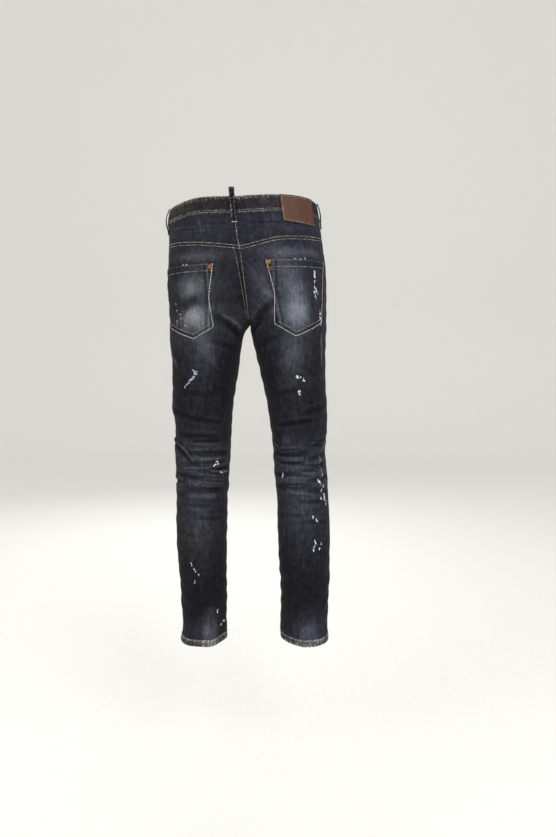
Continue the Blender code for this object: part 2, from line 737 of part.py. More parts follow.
def make_button(metal):
    """The waist button, a turned cap on its shank, standing on the band at the centre front."""
    side, angle = "left", -math.pi / 2
    height = (float(waist_top(side, angle)) + float(waistband_bottom(side, angle))) / 2
    seat = cloth_point(side, angle, height, BAND_PROUD + BUTTON_GAP)
    mesh = bpy.data.meshes.new("waist_button")
    points = [(radius, 0.0, out) for radius, out in BUTTON_PROFILE]
    mesh.from_pydata(points, [(i, i + 1) for i in range(len(points) - 1)], [])
    obj = bpy.data.objects.new("waist_button", mesh)
    screw = obj.modifiers.new("Turn", "SCREW")
    screw.steps = screw.render_steps = BUTTON_STEPS
    screw.use_merge_vertices = True
    screw.merge_threshold = 0.00005
    mesh.materials.append(metal)
    obj.location = seat
    obj.rotation_euler = (math.radians(90), 0, 0)
    PARTS.objects.link(obj)
    return obj


def build():
    denim = material("washed_black_denim", (0.030, 0.032, 0.040), 0.9)
    leather = material("brown_leather", (0.180, 0.080, 0.040), 0.6)
    metal = material("antique_copper", (0.300, 0.160, 0.090), 0.4, 1.0)
    for side in SIDES:
        make_back_panel(side, denim)
        make_front_panel(side, denim)
        make_yoke(side, denim)
        make_hem(side, denim)
        make_back_pocket(side, denim)
        side_angle, front_angle = SIDE_LOOP_DEGREES[side], FRONT_LOOP_DEGREES
        make_loop(f"belt_loop_side_{side}", side, math.radians(side_angle), LOOP_PROFILE, denim)
        make_loop(f"belt_loop_front_{side}", side, math.radians(front_angle), LOOP_PROFILE, denim)
    make_waistband(denim)
    make_patch(leather)
    make_loop("belt_loop_centre", "left", math.radians(CENTRE_LOOP_DEGREES), CENTRE_LOOP_PROFILE, denim)
    make_button(metal)


clear_scene()
PARTS = bpy.data.collections.new("jeans")
bpy.context.scene.collection.children.link(PARTS)
build()
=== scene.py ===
import math

import bpy
import numpy as np
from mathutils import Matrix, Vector


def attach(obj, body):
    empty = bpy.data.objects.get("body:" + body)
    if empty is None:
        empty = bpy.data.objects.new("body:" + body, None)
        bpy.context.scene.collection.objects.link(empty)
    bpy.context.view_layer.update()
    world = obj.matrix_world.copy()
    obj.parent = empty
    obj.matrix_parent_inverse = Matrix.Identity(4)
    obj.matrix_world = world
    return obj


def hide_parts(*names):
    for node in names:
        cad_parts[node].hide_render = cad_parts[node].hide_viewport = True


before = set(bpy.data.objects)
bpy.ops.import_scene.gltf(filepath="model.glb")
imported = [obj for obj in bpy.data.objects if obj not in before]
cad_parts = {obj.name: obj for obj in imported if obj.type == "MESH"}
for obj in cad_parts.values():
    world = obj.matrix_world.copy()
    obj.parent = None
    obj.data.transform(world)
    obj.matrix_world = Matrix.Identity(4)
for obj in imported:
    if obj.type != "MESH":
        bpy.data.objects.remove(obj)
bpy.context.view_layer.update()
bpy.ops.object.select_all(action="DESELECT")
print("frame loaded:", len(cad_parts), "parts")


# Colours and nodes

def fromHex(code):
    parts = [int(code[i:i + 2], 16) / 255 for i in (1, 3, 5)]
    return (*[c / 12.92 if c <= 0.04045 else ((c + 0.055) / 1.055) ** 2.4 for c in parts], 1.0)


def addNode(tree, kind, settings=None, inputs=None, links=None, stops=None):
    # links: socket name or number -> (node, output); stops: a ramp's (position, hex) pairs
    node = tree.nodes.new("ShaderNode" + kind)
    for key, value in (settings or {}).items():
        setattr(node, key, value)
    for key, value in (inputs or {}).items():
        node.inputs[key].default_value = value
    for key, (source, output) in (links or {}).items():
        tree.links.new(source.outputs[output], node.inputs[key])
    for number, (position, code) in enumerate(stops or []):
        elements = node.color_ramp.elements
        element = elements[number] if number < len(elements) else elements.new(position)
        element.position = position
        element.color = fromHex(code)
    return node


def newMaterial(name):
    made = bpy.data.materials.new(name)
    made.use_nodes = True
    return made, made.node_tree, made.node_tree.nodes["Principled BSDF"]


# Camera: 3 degrees off straight behind, level, as the photograph

cameraPlace = {"azimuth": 183.0, "distance": 1.55, "across": 0.0768, "height": -0.347,
               "lens": 680 / 837 * 36, "shift": -58.5 / 837}


def makeCamera():
    turn = math.radians(cameraPlace["azimuth"])
    back = Vector((math.sin(turn), -math.cos(turn), 0))
    right = Vector((-back.y, back.x, 0))
    data = bpy.data.cameras.new("camera")
    data.sensor_width = 36
    data.lens = cameraPlace["lens"]
    data.shift_y = cameraPlace["shift"]
    camera = bpy.data.objects.new("camera", data)
    camera.location = back * cameraPlace["distance"] + right * cameraPlace["across"] \
        + Vector((0, 0, cameraPlace["height"]))
    camera.rotation_euler = (-back).to_track_quat("-Z", "Y").to_euler()
    bpy.context.collection.objects.link(camera)
    bpy.context.scene.camera = camera


makeCamera()


# The jeans' form. Angles run from the outer side of each leg: over the back to 180 degrees at the
# inseam, and over the front to -180. Metres throughout

sideSign = {"left": 1, "right": -1}
form = {
    "sideSeam": math.radians(10), "seamGap": 0.00006,
    "crotch": -0.266, "thighLine": -0.365, "kneeTop": -0.500, "kneeBottom": -0.645,
    "hemTop": -0.9615, "hemBottom": -0.9765, "hemTilt": 0.0025, "bandHeight": 0.0365,
    "backRise": 0.170, "frontRise": 0.110, "risePower": 1.6, "seatBridge": 0.034,
    "pocketLine": 0.055,
}
trunk = {
    "columns": ("height", "left", "right", "centre", "front", "back"),
    "rows": [
        (0.040, 0.1580, -0.1590, 0.0130, -0.1000, 0.1080),
        (0.000, 0.1637, -0.1645, 0.0111, -0.1040, 0.1120),
        (-0.035, 0.1710, -0.1706, 0.0070, -0.1080, 0.1150),
        (-0.070, 0.1691, -0.1762, 0.0021, -0.1110, 0.1190),
        (-0.110, 0.1697, -0.1812, -0.0045, -0.1130, 0.1250),
        (-0.150, 0.1693, -0.1849, -0.0104, -0.1140, 0.1310),
        (-0.190, 0.1709, -0.1867, -0.0154, -0.1140, 0.1320),
        (-0.230, 0.1675, -0.1867, -0.0176, -0.1120, 0.1240),
        (-0.266, 0.1687, -0.1866, -0.0137, -0.1080, 0.1030),
    ],
}
legs = {
    "columns": ("height", "left_out", "left_in", "right_in", "right_out", "front", "back"),
    "rows": [
        (-0.266, 0.1687, -0.0137, -0.0137, -0.1866, -0.1080, 0.1030),
        (-0.285, 0.1686, -0.0004, -0.0158, -0.1859, -0.1060, 0.0950),
        (-0.320, 0.1673, 0.0083, -0.0240, -0.1849, -0.1025, 0.0860),
        (-0.365, 0.1645, 0.0137, -0.0348, -0.1847, -0.0995, 0.0800),
        (-0.410, 0.1643, 0.0211, -0.0452, -0.1854, -0.0965, 0.0755),
        (-0.456, 0.1647, 0.0277, -0.0539, -0.1882, -0.0925, 0.0705),
        (-0.500, 0.1577, 0.0304, -0.0609, -0.1881, -0.0870, 0.0645),
        (-0.547, 0.1593, 0.0324, -0.0660, -0.1844, -0.0810, 0.0595),
        (-0.600, 0.1563, 0.0351, -0.0691, -0.1874, -0.0740, 0.0585),
        (-0.661, 0.1542, 0.0386, -0.0755, -0.1915, -0.0670, 0.0620),
        (-0.720, 0.1534, 0.0391, -0.0773, -0.1942, -0.0610, 0.0660),
        (-0.780, 0.1509, 0.0400, -0.0789, -0.1940, -0.0570, 0.0660),
        (-0.843, 0.1449, 0.0400, -0.0835, -0.1931, -0.0550, 0.0630),
        (-0.900, 0.1415, 0.0395, -0.0842, -0.1903, -0.0540, 0.0590),
        (-0.950, 0.1389, 0.0405, -0.0827, -0.1884, -0.0545, 0.0570),
        (-0.978, 0.1423, 0.0390, -0.0830, -0.1909, -0.0560, 0.0580),
    ],
}
fullness = {  # squareness of the section: 2 is an ellipse
    "columns": ("height", "outer", "left_inner", "right_inner"),
    "rows": [
        (0.040, 2.20, 2.0, 2.0), (-0.266, 2.20, 2.0, 2.0), (-0.700, 2.15, 2.0, 2.0),
        (-0.880, 2.20, 1.9, 1.8), (-0.978, 2.40, 1.65, 1.42),
    ],
}
waistLine = {  # top edge of the waistband, by degrees
    "columns": ("degrees", "left", "right"),
    "rows": [
        (-90, -0.0250, -0.0250), (-35, -0.0180, -0.0100), (0, -0.0115, -0.0005),
        (18, -0.0100, 0.0035), (35, -0.0070, 0.0058), (58, 0.0000, 0.0060), (90, 0.0000, 0.0000),
    ],
}
yokeLine = {
    "columns": ("degrees", "left", "right"),
    "rows": [
        (0, -0.0905, -0.0765), (20, -0.0910, -0.0785), (45, -0.0925, -0.0810),
        (67, -0.0970, -0.0870), (80, -0.1015, -0.0975), (90, -0.1055, -0.1060),
    ],
}
# Main folds, from one point to another: side, degrees, height, degrees, height, width, depth
mainFolds = [
    ("left", 50, -0.512, 135, -0.519, 0.0065, 0.0030),
    ("left", 8, -0.513, 80, -0.572, 0.0060, 0.0034),
    ("left", 75, -0.550, 165, -0.556, 0.0060, 0.0036),
    ("left", 60, -0.577, 150, -0.572, 0.0050, 0.0028),
    ("left", 85, -0.592, 172, -0.587, 0.0050, 0.0034),
    ("left", 20, -0.600, 110, -0.608, 0.0055, 0.0030),
    ("left", 5, -0.622, 60, -0.616, 0.0050, 0.0026),
    ("left", 70, -0.630, 150, -0.636, 0.0055, 0.0028),
    ("left", 25, -0.648, 120, -0.645, 0.0060, 0.0020),
    ("right", 5, -0.520, 60, -0.534, 0.0060, 0.0030),
    ("right", 70, -0.548, 170, -0.556, 0.0060, 0.0036),
    ("right", 20, -0.553, 70, -0.566, 0.0055, 0.0026),
    ("right", 80, -0.574, 150, -0.568, 0.0050, 0.0030),
    ("right", 25, -0.577, 85, -0.585, 0.0055, 0.0030),
    ("right", 95, -0.597, 168, -0.603, 0.0055, 0.0034),
    ("right", 5, -0.604, 75, -0.611, 0.0055, 0.0028),
    ("right", 70, -0.622, 165, -0.628, 0.0060, 0.0030),
    ("right", 15, -0.638, 80, -0.630, 0.0060, 0.0022),
    ("left", -25, -0.524, -130, -0.540, 0.0080, 0.0030),
    ("left", -60, -0.566, -165, -0.556, 0.0075, 0.0026),
    ("left", -20, -0.590, -120, -0.598, 0.0080, 0.0032),
    ("left", -70, -0.630, -150, -0.622, 0.0080, 0.0024),
    ("right", -35, -0.536, -150, -0.524, 0.0080, 0.0030),
    ("right", -15, -0.562, -100, -0.574, 0.0075, 0.0028),
    ("right", -60, -0.604, -165, -0.592, 0.0080, 0.0032),
    ("right", -20, -0.618, -110, -0.634, 0.0080, 0.0024),
    ("left", 92, -0.247, 158, -0.288, 0.0090, 0.0026),
    ("right", 90, -0.216, 150, -0.276, 0.0090, 0.0026),
    ("left", -60, -0.300, -150, -0.262, 0.0130, 0.0036),
    ("right", -60, -0.296, -150, -0.258, 0.0130, 0.0036),
    ("left", -20, -0.235, -80, -0.215, 0.0130, 0.0028),
    ("right", -20, -0.240, -80, -0.222, 0.0130, 0.0028),
    ("left", 118, -0.890, 118, -1.010, 0.0180, -0.0050),
]


# Creases that the solid leaves out. A negative depth is a ridge
fineCreases = [
    ("left", -9, -0.5215, 59, -0.5417, 0.0040, -0.0022),
    ("left", 59, -0.5417, 82, -0.5698, 0.0035, -0.0018),
    ("left", 80, -0.5251, 131, -0.5265, 0.0035, 0.0018),
    ("left", 73, -0.5453, 113, -0.5453, 0.0040, -0.0012),
    ("left", 89, -0.5575, 131, -0.5600, 0.0022, 0.0016),
    ("left", 90, -0.5669, 129, -0.5640, 0.0025, -0.0010),
    ("left", 86, -0.5806, 122, -0.5813, 0.0025, 0.0010),
    ("left", 56, -0.5863, 91, -0.5842, 0.0022, -0.0010),
    ("left", 110, -0.5907, 176, -0.6008, 0.0020, -0.0012),
    ("left", 110, -0.5964, 170, -0.6065, 0.0022, 0.0012),
    ("left", 98, -0.5604, 98, -0.6000, 0.0018, -0.0006),
    ("left", -5, -0.6325, 67, -0.6202, 0.0022, -0.0010),
    ("left", 96, -0.6073, 148, -0.6137, 0.0018, -0.0007),
    ("left", 96, -0.6152, 146, -0.6224, 0.0018, -0.0007),
    ("left", 100, -0.6238, 143, -0.6303, 0.0018, -0.0007),
    ("left", 96, -0.6332, 151, -0.6390, 0.0020, -0.0007),
    ("left", 59, -0.6462, 135, -0.6469, 0.0060, -0.0014),
    ("left", 62, -0.6640, 120, -0.6690, 0.0040, 0.0006),
    ("left", 84, -0.6930, 150, -0.6990, 0.0040, 0.0006),
    ("left", 40, -0.7260, 92, -0.7310, 0.0050, 0.0005),
    ("left", 70, -0.4730, 140, -0.4860, 0.0050, 0.0010),
    ("left", 20, -0.4550, 72, -0.4690, 0.0060, 0.0010),
    ("left", 60, -0.4150, 118, -0.4230, 0.0060, 0.0006),
    ("left", 10, -0.2890, 46, -0.3620, 0.0070, -0.0016),
    ("left", 124, -0.2680, 168, -0.3040, 0.0045, 0.0008),
    ("left", 100, -0.3020, 150, -0.3200, 0.0060, 0.0006),
    ("left", 112, -0.2120, 150, -0.2440, 0.0060, 0.0006),
    ("left", 30, -0.0600, 62, -0.0640, 0.0030, -0.0006),
    ("left", 36, -0.0700, 70, -0.0720, 0.0030, -0.0005),
    ("left", 66, -0.0560, 86, -0.0590, 0.0028, 0.0007),
    ("left", 74, -0.2160, 58, -0.2400, 0.0100, 0.0014),
    ("right", 155, -0.5323, 137, -0.5388, 0.0022, -0.0014),
    ("right", 92, -0.5373, 133, -0.5402, 0.0022, -0.0010),
    ("right", 88, -0.5460, 139, -0.5517, 0.0030, -0.0012),
    ("right", 83, -0.5553, 136, -0.5582, 0.0028, 0.0016),
    ("right", 87, -0.5655, 139, -0.5690, 0.0028, -0.0012),
    ("right", 87, -0.5719, 137, -0.5755, 0.0025, 0.0012),
    ("right", 53, -0.5835, 87, -0.5813, 0.0028, -0.0012),
    ("right", 56, -0.5907, 88, -0.5892, 0.0028, 0.0012),
    ("right", 22, -0.5308, 70, -0.5280, 0.0030, -0.0012),
    ("right", 82, -0.6217, 133, -0.6253, 0.0022, -0.0012),
    ("right", 116, -0.6318, 149, -0.6238, 0.0022, -0.0012),
    ("right", 66, -0.6058, 126, -0.6029, 0.0025, -0.0009),
    ("right", 69, -0.6397, 115, -0.6361, 0.0028, -0.0010),
    ("right", 44, -0.6580, 104, -0.6540, 0.0045, 0.0008),
    ("right", 90, -0.6840, 150, -0.6900, 0.0045, 0.0006),
    ("right", 30, -0.7040, 84, -0.6990, 0.0050, 0.0006),
    ("right", 60, -0.4760, 130, -0.4900, 0.0050, 0.0010),
    ("right", 30, -0.4500, 80, -0.4620, 0.0060, 0.0009),
    ("right", 80, -0.4120, 128, -0.4200, 0.0060, 0.0006),
    ("right", 32, -0.2880, 30, -0.3600, 0.0060, -0.0014),
    ("right", 126, -0.2600, 168, -0.2980, 0.0045, 0.0008),
    ("right", 104, -0.2980, 152, -0.3180, 0.0060, 0.0006),
    ("right", 60, -0.0540, 84, -0.0570, 0.0028, 0.0006),
    ("right", 98, -0.1980, 88, -0.2300, 0.0070, -0.0006),
]


def mirrored(table, drift):
    # much the same creases on the front that the photograph hides, each a little moved
    moved = []
    for number, (side, start, high, end, low, width, depth) in enumerate(table):
        if -0.66 < high < -0.44:
            shift = drift * math.sin(2.1 * number)
            start, end = -max(start, 14) * 0.94, -end * 0.97
            moved.append((side, start, high + shift, end, low - shift * 0.6, width * 1.2, depth * 0.8))
    return moved


fineCreases += mirrored(fineCreases, 0.006)

# Worn and dark places: side, degrees, height, half width, half height, lean, strength
wornPlaces = [
    ("left", 78, -0.254, 0.022, 0.020, 0.2, 0.34), ("left", 76, -0.258, 0.036, 0.034, 0.0, 0.22),
    ("left", 66, -0.196, 0.026, 0.022, 0.3, 0.26), ("left", 62, -0.190, 0.044, 0.034, 0.0, 0.10),
    ("left", 64, -0.224, 0.046, 0.014, -0.25, -0.14), ("left", 57, -0.128, 0.036, 0.010, 0.0, 0.22),
    ("left", 100, -0.319, 0.018, 0.034, 0.25, 0.20), ("left", 92, -0.345, 0.034, 0.050, 0.0, 0.13),
    ("left", 96, -0.430, 0.026, 0.060, 0.0, 0.04), ("left", 92, -0.575, 0.044, 0.044, 0.0, 0.12),
    ("left", 96, -0.690, 0.034, 0.060, 0.0, 0.14), ("left", 92, -0.770, 0.028, 0.060, 0.0, 0.05),
    ("left", 100, -0.945, 0.032, 0.022, 0.0, 0.15), ("left", 92, -0.930, 0.042, 0.034, 0.0, 0.10),
    ("left", 112, -0.190, 0.022, 0.050, 0.0, -0.04), ("left", 40, -0.160, 0.020, 0.050, 0.0, -0.05),
    ("right", 66, -0.185, 0.020, 0.050, 0.0, 0.22), ("right", 82, -0.2605, 0.022, 0.022, 0.0, 0.20),
    ("right", 71, -0.244, 0.024, 0.026, 0.0, 0.28), ("right", 72, -0.220, 0.036, 0.060, 0.0, 0.13),
    ("right", 97, -0.198, 0.014, 0.044, 0.1, 0.17), ("right", 51, -0.118, 0.046, 0.010, 0.0, 0.22),
    ("right", 86, -0.330, 0.022, 0.036, 0.15, 0.19), ("right", 88, -0.360, 0.032, 0.050, 0.0, 0.10),
    ("right", 90, -0.450, 0.028, 0.060, 0.0, 0.03), ("right", 92, -0.585, 0.042, 0.050, 0.0, 0.11),
    ("right", 95, -0.680, 0.034, 0.060, 0.0, 0.12), ("right", 80, -0.770, 0.028, 0.060, 0.0, 0.05),
    ("right", 80, -0.945, 0.026, 0.024, 0.0, 0.22), ("right", 84, -0.930, 0.042, 0.034, 0.0, 0.12),
    ("right", 48, -0.240, 0.010, 0.034, 0.0, -0.08), ("right", 118, -0.522, 0.008, 0.010, 0.0, 0.18),
    ("left", -88, -0.380, 0.042, 0.110, 0.0, 0.26), ("left", -92, -0.580, 0.040, 0.060, 0.0, 0.22),
    ("left", -95, -0.800, 0.034, 0.100, 0.0, 0.08), ("left", -80, -0.190, 0.040, 0.040, 0.0, 0.12),
    ("right", -88, -0.375, 0.042, 0.110, 0.0, 0.24), ("right", -92, -0.570, 0.040, 0.060, 0.0, 0.22),
    ("right", -95, -0.790, 0.034, 0.100, 0.0, 0.08), ("right", -80, -0.185, 0.040, 0.040, 0.0, 0.12),
]
# How washed out the cloth is all round, by height
washed = {
    "columns": ("z", "level"),
    "rows": [
        (0.03, 0.28), (-0.04, 0.28), (-0.09, 0.26), (-0.13, 0.21), (-0.27, 0.21), (-0.34, 0.14),
        (-0.40, 0.115), (-0.50, 0.145), (-0.56, 0.19), (-0.70, 0.175), (-0.78, 0.125), (-0.86, 0.09),
        (-0.93, 0.115), (-0.955, 0.17), (-1.0, 0.55),
    ],
}
# Rubbed lines: side, degrees, height, degrees, height, width, strength
wornLines = [
    ("left", 10, -0.289, 46, -0.362, 0.0050, 0.20), ("left", 18, -0.300, 52, -0.350, 0.0035, 0.14),
    ("left", 62, -0.045, 64, -0.086, 0.0022, 0.12), ("left", 104, -0.2475, 163, -0.282, 0.0050, 0.28),
    ("left", 178, -0.540, 164, -0.562, 0.0022, 0.25), ("left", 110, -0.590, 176, -0.600, 0.0018, 0.22),
    ("right", 32, -0.288, 30, -0.360, 0.0045, 0.20), ("right", 92, -0.214, 150, -0.262, 0.0060, 0.14),
    ("right", 16, -0.527, 39, -0.555, 0.0030, 0.34), ("right", 39, -0.555, 43, -0.579, 0.0034, 0.30),
    ("right", 43, -0.579, 36, -0.602, 0.0026, 0.36), ("right", 36, -0.602, 47, -0.615, 0.0026, 0.36),
    ("right", 47, -0.615, 37, -0.629, 0.0024, 0.30), ("right", 37, -0.629, 37, -0.652, 0.0024, 0.26),
    ("right", 155, -0.532, 137, -0.539, 0.0016, 0.26), ("right", 147, -0.543, 154, -0.575, 0.0014, 0.18),
    ("right", 136, -0.542, 141, -0.574, 0.0014, 0.16),
    ("left", -100, -0.210, -50, -0.180, 0.0060, 0.16), ("left", -104, -0.232, -52, -0.220, 0.0060, 0.15),
    ("right", -100, -0.206, -50, -0.176, 0.0060, 0.16), ("right", -104, -0.230, -52, -0.216, 0.0060, 0.15),
]


def smoothCurve(stations, values, at, slopes=None):
    if slopes is None:
        slopes = np.gradient(values, stations)
    at = np.asarray(at, float)
    i = np.clip(np.searchsorted(stations, at) - 1, 0, len(stations) - 2)
    span = stations[i + 1] - stations[i]
    t = np.clip((at - stations[i]) / span, 0.0, 1.0)
    return ((1 + 2 * t) * (1 - t) ** 2 * values[i] + t * (1 - t) ** 2 * span * slopes[i]
            + t * t * (3 - 2 * t) * values[i + 1] + t * t * (t - 1) * span * slopes[i + 1])


def evened(angle, height):
    # as arrays of one shape, with the angles between -180 and 180 degrees
    angle, height = np.broadcast_arrays(np.asarray(angle, float), np.asarray(height, float))
    return (angle + math.pi) % (2 * math.pi) - math.pi, height


def lengthsAlong(points):
    # the distance along a line of points to each of them
    return np.concatenate([[0.0], np.cumsum(np.linalg.norm(np.diff(points, axis=0), axis=1))])


curves = {}  # each table's column with its slopes, worked out once


def curveOf(table, name):
    key = (id(table), name)
    if key not in curves:
        rows = np.array(table["rows"], float)
        rows = rows[np.argsort(rows[:, 0])]
        stations = np.radians(rows[:, 0]) if table["columns"][0] == "degrees" else rows[:, 0]
        values = rows[:, table["columns"].index(name)]
        curves[key] = (stations, values, np.gradient(values, stations))
    return curves[key]


def sectionAt(table, name, height):
    stations, values, slopes = curveOf(table, name)
    return smoothCurve(stations, values, height, slopes)


def lineAt(table, side, angle):
    return sectionAt(table, side, angle)


def bandBottom(side, angle):
    return lineAt(waistLine, side, angle) - form["bandHeight"]


def legShare(height, rise):
    climbed = np.clip((np.asarray(height, float) - form["crotch"]) / rise, 0.0, 1.0)
    return (1 - climbed) ** form["risePower"]


def sideLimits(side, height):
    above = np.asarray(height) > form["crotch"]
    out = np.where(above, sectionAt(trunk, side, height), sectionAt(legs, side + "_out", height))
    inner = np.where(above, sectionAt(trunk, "centre", height), sectionAt(legs, side + "_in", height))
    return out, inner + sideSign[side] * form["seamGap"] / 2


def depthLimits(height):
    above = np.asarray(height) > form["crotch"]
    return [np.where(above, sectionAt(trunk, name, height), sectionAt(legs, name, height))
            for name in ("front", "back")]


def innerAngle(side, height, back):
    # where the section meets the centre seam or the inseam
    rise = np.where(back, form["backRise"], form["frontRise"])
    power = sectionAt(fullness, side + "_inner", height)
    share = np.minimum(legShare(height, rise), 1.0)
    return math.pi - np.arccos(np.clip(share ** (power / 2), 0.0, 1.0))


def bareSurface(side, angle, height):
    angle, height = evened(angle, height)
    back = angle >= 0
    out, inner = sideLimits(side, height)
    frontY, backY = depthLimits(height)
    middleY = (frontY + backY) / 2
    share = legShare(height, np.where(back, form["backRise"], form["frontRise"]))
    halfWidth = (out - inner) / (1 + share)
    cosine, sine = np.cos(angle), np.abs(np.sin(angle))
    power = np.where(cosine >= 0, sectionAt(fullness, "outer", height),
                     sectionAt(fullness, side + "_inner", height))
    x = out - halfWidth + halfWidth * np.sign(cosine) * np.abs(cosine) ** (2 / power)
    reach = np.where(back, backY, frontY) - middleY
    y = middleY + reach * sine ** (2 / power)
    # the cloth spans the hollow beside the centre seam
    near = np.clip(1 - np.abs(x - inner) / form["seatBridge"], 0.0, 1.0)
    steep = np.clip(share / np.sqrt(np.maximum(1 - share**2, 0.02)), 0.0, 1.1)
    spans = np.clip((1 - share) / 0.35, 0.0, 1.0) * (height > form["crotch"])
    y = y + np.sign(reach) * 0.5 * form["seatBridge"] * steep * spans * near**2
    return np.stack([x, y, height], axis=-1)


def surfaceNormal(side, angle, height):
    stepAngle, stepHeight = 0.02, 0.004
    along = bareSurface(side, angle + stepAngle, height) - bareSurface(side, angle - stepAngle, height)
    up = bareSurface(side, angle, height + stepHeight) - bareSurface(side, angle, height - stepHeight)
    normal = np.cross(along, up) * sideSign[side]
    return normal / np.linalg.norm(normal, axis=-1, keepdims=True)


def localRadius(side, height):
    frontY, backY = depthLimits(height)
    out, inner = sideLimits(side, height)
    return (backY - frontY + np.abs(out - inner)) / 4


def foldsAt(side, angle, height, table):
    # soft troughs, each with a low ridge on both sides
    radius = localRadius(side, height)
    total = np.zeros(height.shape)
    for foldSide, fromDegrees, fromHeight, toDegrees, toHeight, width, depth in table:
        if foldSide != side:
            continue
        start, end = math.radians(fromDegrees), math.radians(toDegrees)
        run, climb = (end - start) * radius, toHeight - fromHeight
        length = np.hypot(run, climb)
        acrossX, acrossZ = (angle - start) * radius, height - fromHeight
        along = (acrossX * run + acrossZ * climb) / length**2
        away = (acrossX * climb - acrossZ * run) / length
        inside = np.clip(np.minimum(along, 1 - along) / 0.3 + 0.35, 0.0, 1.0)
        taper = inside * inside * (3 - 2 * inside)
        ridge = np.exp(-(((np.abs(away) - 1.7 * width) / width) ** 2))
        total += depth * taper * (0.45 * ridge - np.exp(-((away / width) ** 2)))
    return total


relief = {
    "felledWidth": 0.0085, "felledYoke": 0.0006, "felledInseam": 0.0004, "sideRidge": 0.0004,
    "waves": 16, "waveDepth": 0.00022,
}
chance = np.random.default_rng(12)
# Slow unevenness all round each leg: turns round, waves per metre, phase, share of the depth
waveTable = {side: [(int(chance.integers(1, 7)), chance.uniform(6, 34), chance.uniform(0, 6.28),
                     chance.uniform(0.3, 1.0)) for _ in range(relief["waves"])] for side in sideSign}


def softStep(value, start, end):
    t = np.clip((value - start) / (end - start), 0.0, 1.0)
    return t * t * (3 - 2 * t)


def wavesAt(side, angle, height):
    total = np.zeros(height.shape)
    for turns, rate, phase, share in waveTable[side]:
        total += share * np.sin(turns * angle + 2 * math.pi * rate * height + phase)
    return relief["waveDepth"] * total


def fromSeams(side, angle, height):
    # distances round the leg: to the side seam, and to the centre seam or inseam
    radius = localRadius(side, height)
    inner = innerAngle(side, height, angle >= 0)
    return (angle - form["sideSeam"]) * radius, (inner - np.abs(angle)) * radius


def reliefAt(side, angle, height):
    angle, height = evened(angle, height)
    total = foldsAt(side, angle, height, mainFolds) + foldsAt(side, angle, height, fineCreases)
    total = total + wavesAt(side, angle, height) * softStep(-height, 0.045, 0.10)
    sideAway, innerAway = fromSeams(side, angle, height)
    total = total + relief["sideRidge"] * np.exp(-((sideAway / 0.0035) ** 2))
    felled = 1 - softStep(innerAway, relief["felledWidth"] - 0.001, relief["felledWidth"] + 0.001)
    felled = felled * (angle > 0) * ((height < form["crotch"]) | (side == "left")) * (height > form["hemTop"])
    total = total + relief["felledInseam"] * felled
    below = lineAt(yokeLine, side, np.abs(angle)) - height
    edge = relief["felledWidth"]
    yoke = softStep(below, -0.0008, 0.0004) * (1 - softStep(below, edge - 0.001, edge + 0.001))
    return total + relief["felledYoke"] * yoke * (angle > form["sideSeam"] * 0.8)


def clothPoint(side, angle, height, lift=0.0):
    push = np.asarray(reliefAt(side, angle, height) + lift)[..., None]
    point = bareSurface(side, angle, height) + push * surfaceNormal(side, angle, height)
    sign = sideSign[side]
    seam = np.where(np.asarray(height) > form["crotch"] - 0.001, sign * sideLimits(side, height)[1], -1.0)
    point[..., 0] = sign * np.maximum(sign * point[..., 0], seam)
    return point


# Cloth walls: an outer and an inner layer of points, closed round the edge

def newObject(name, points, faces):
    mesh = bpy.data.meshes.new(name)
    mesh.from_pydata(points, [], faces)
    mesh.shade_smooth()
    obj = bpy.data.objects.new(name, mesh)
    bpy.context.collection.objects.link(obj)
    return obj


def makeWall(name, outer, inner, materials, ring=False, faceUp=True, maps=None):
    # outer, inner: rows x columns x 3. maps: attribute name -> rows x columns
    rows, columns = outer.shape[:2]
    count = rows * columns
    index = np.arange(count).reshape(rows, columns)
    if ring:
        index = np.hstack([index, index[:, :1]])
    quads = np.stack([index[:-1, :-1], index[:-1, 1:], index[1:, 1:], index[1:, :-1]], axis=-1).reshape(-1, 4)
    faces = [quads, quads[:, ::-1] + count]
    for row, flip in ((0, 1), (rows - 1, 0)):
        a, b = index[row, :-1], index[row, 1:]
        edge = np.stack([a, b, b + count, a + count], axis=-1)
        faces.append(edge[:, ::-1] if flip else edge)
    if not ring:
        for column, flip in ((0, 0), (columns - 1, 1)):
            a, b = index[:-1, column], index[1:, column]
            edge = np.stack([a, b, b + count, a + count], axis=-1)
            faces.append(edge[:, ::-1] if flip else edge)
    inside = np.concatenate([np.full(len(faces[0]), 0), np.full(len(faces[1]), 1)]
                            + [np.full(len(f), 0) for f in faces[2:]])
    faces = np.concatenate(faces)
    if not faceUp:
        faces = faces[:, ::-1]
    points = np.concatenate([outer.reshape(-1, 3), inner.reshape(-1, 3)])
    obj = newObject(name, points.tolist(), faces.tolist())
    mesh = obj.data
    for made in materials:
        mesh.materials.append(made)
    if len(materials) > 1:
        mesh.polygons.foreach_set("material_index", inside.astype(np.int32))
    for key, values in (maps or {}).items():
        if values.ndim == 3:
            corners = np.empty(len(mesh.loops), np.int32)
            mesh.loops.foreach_get("vertex_index", corners)
            flat = np.tile(values.reshape(-1, 2), (2, 1))[corners]
            mesh.uv_layers.new(name=key).data.foreach_set("uv", flat.astype(np.float32).ravel())
        else:
            attribute = mesh.attributes.new(key, "FLOAT", "POINT")
            attribute.data.foreach_set("value", np.tile(values.ravel(), 2).astype(np.float32))
    return obj


def facesOut(side, angles):
    # whether columns that run with the angle give faces that look outwards
    rising = angles[0, -1] > angles[0, 0]
    return rising == (side == "left")


def spacing(angles, heights, side):
    # distance round the leg from the side seam, and the height, in metres, for the weave
    return np.stack([(angles - form["sideSeam"]) * localRadius(side, heights) * sideSign[side], heights],
                    axis=-1)


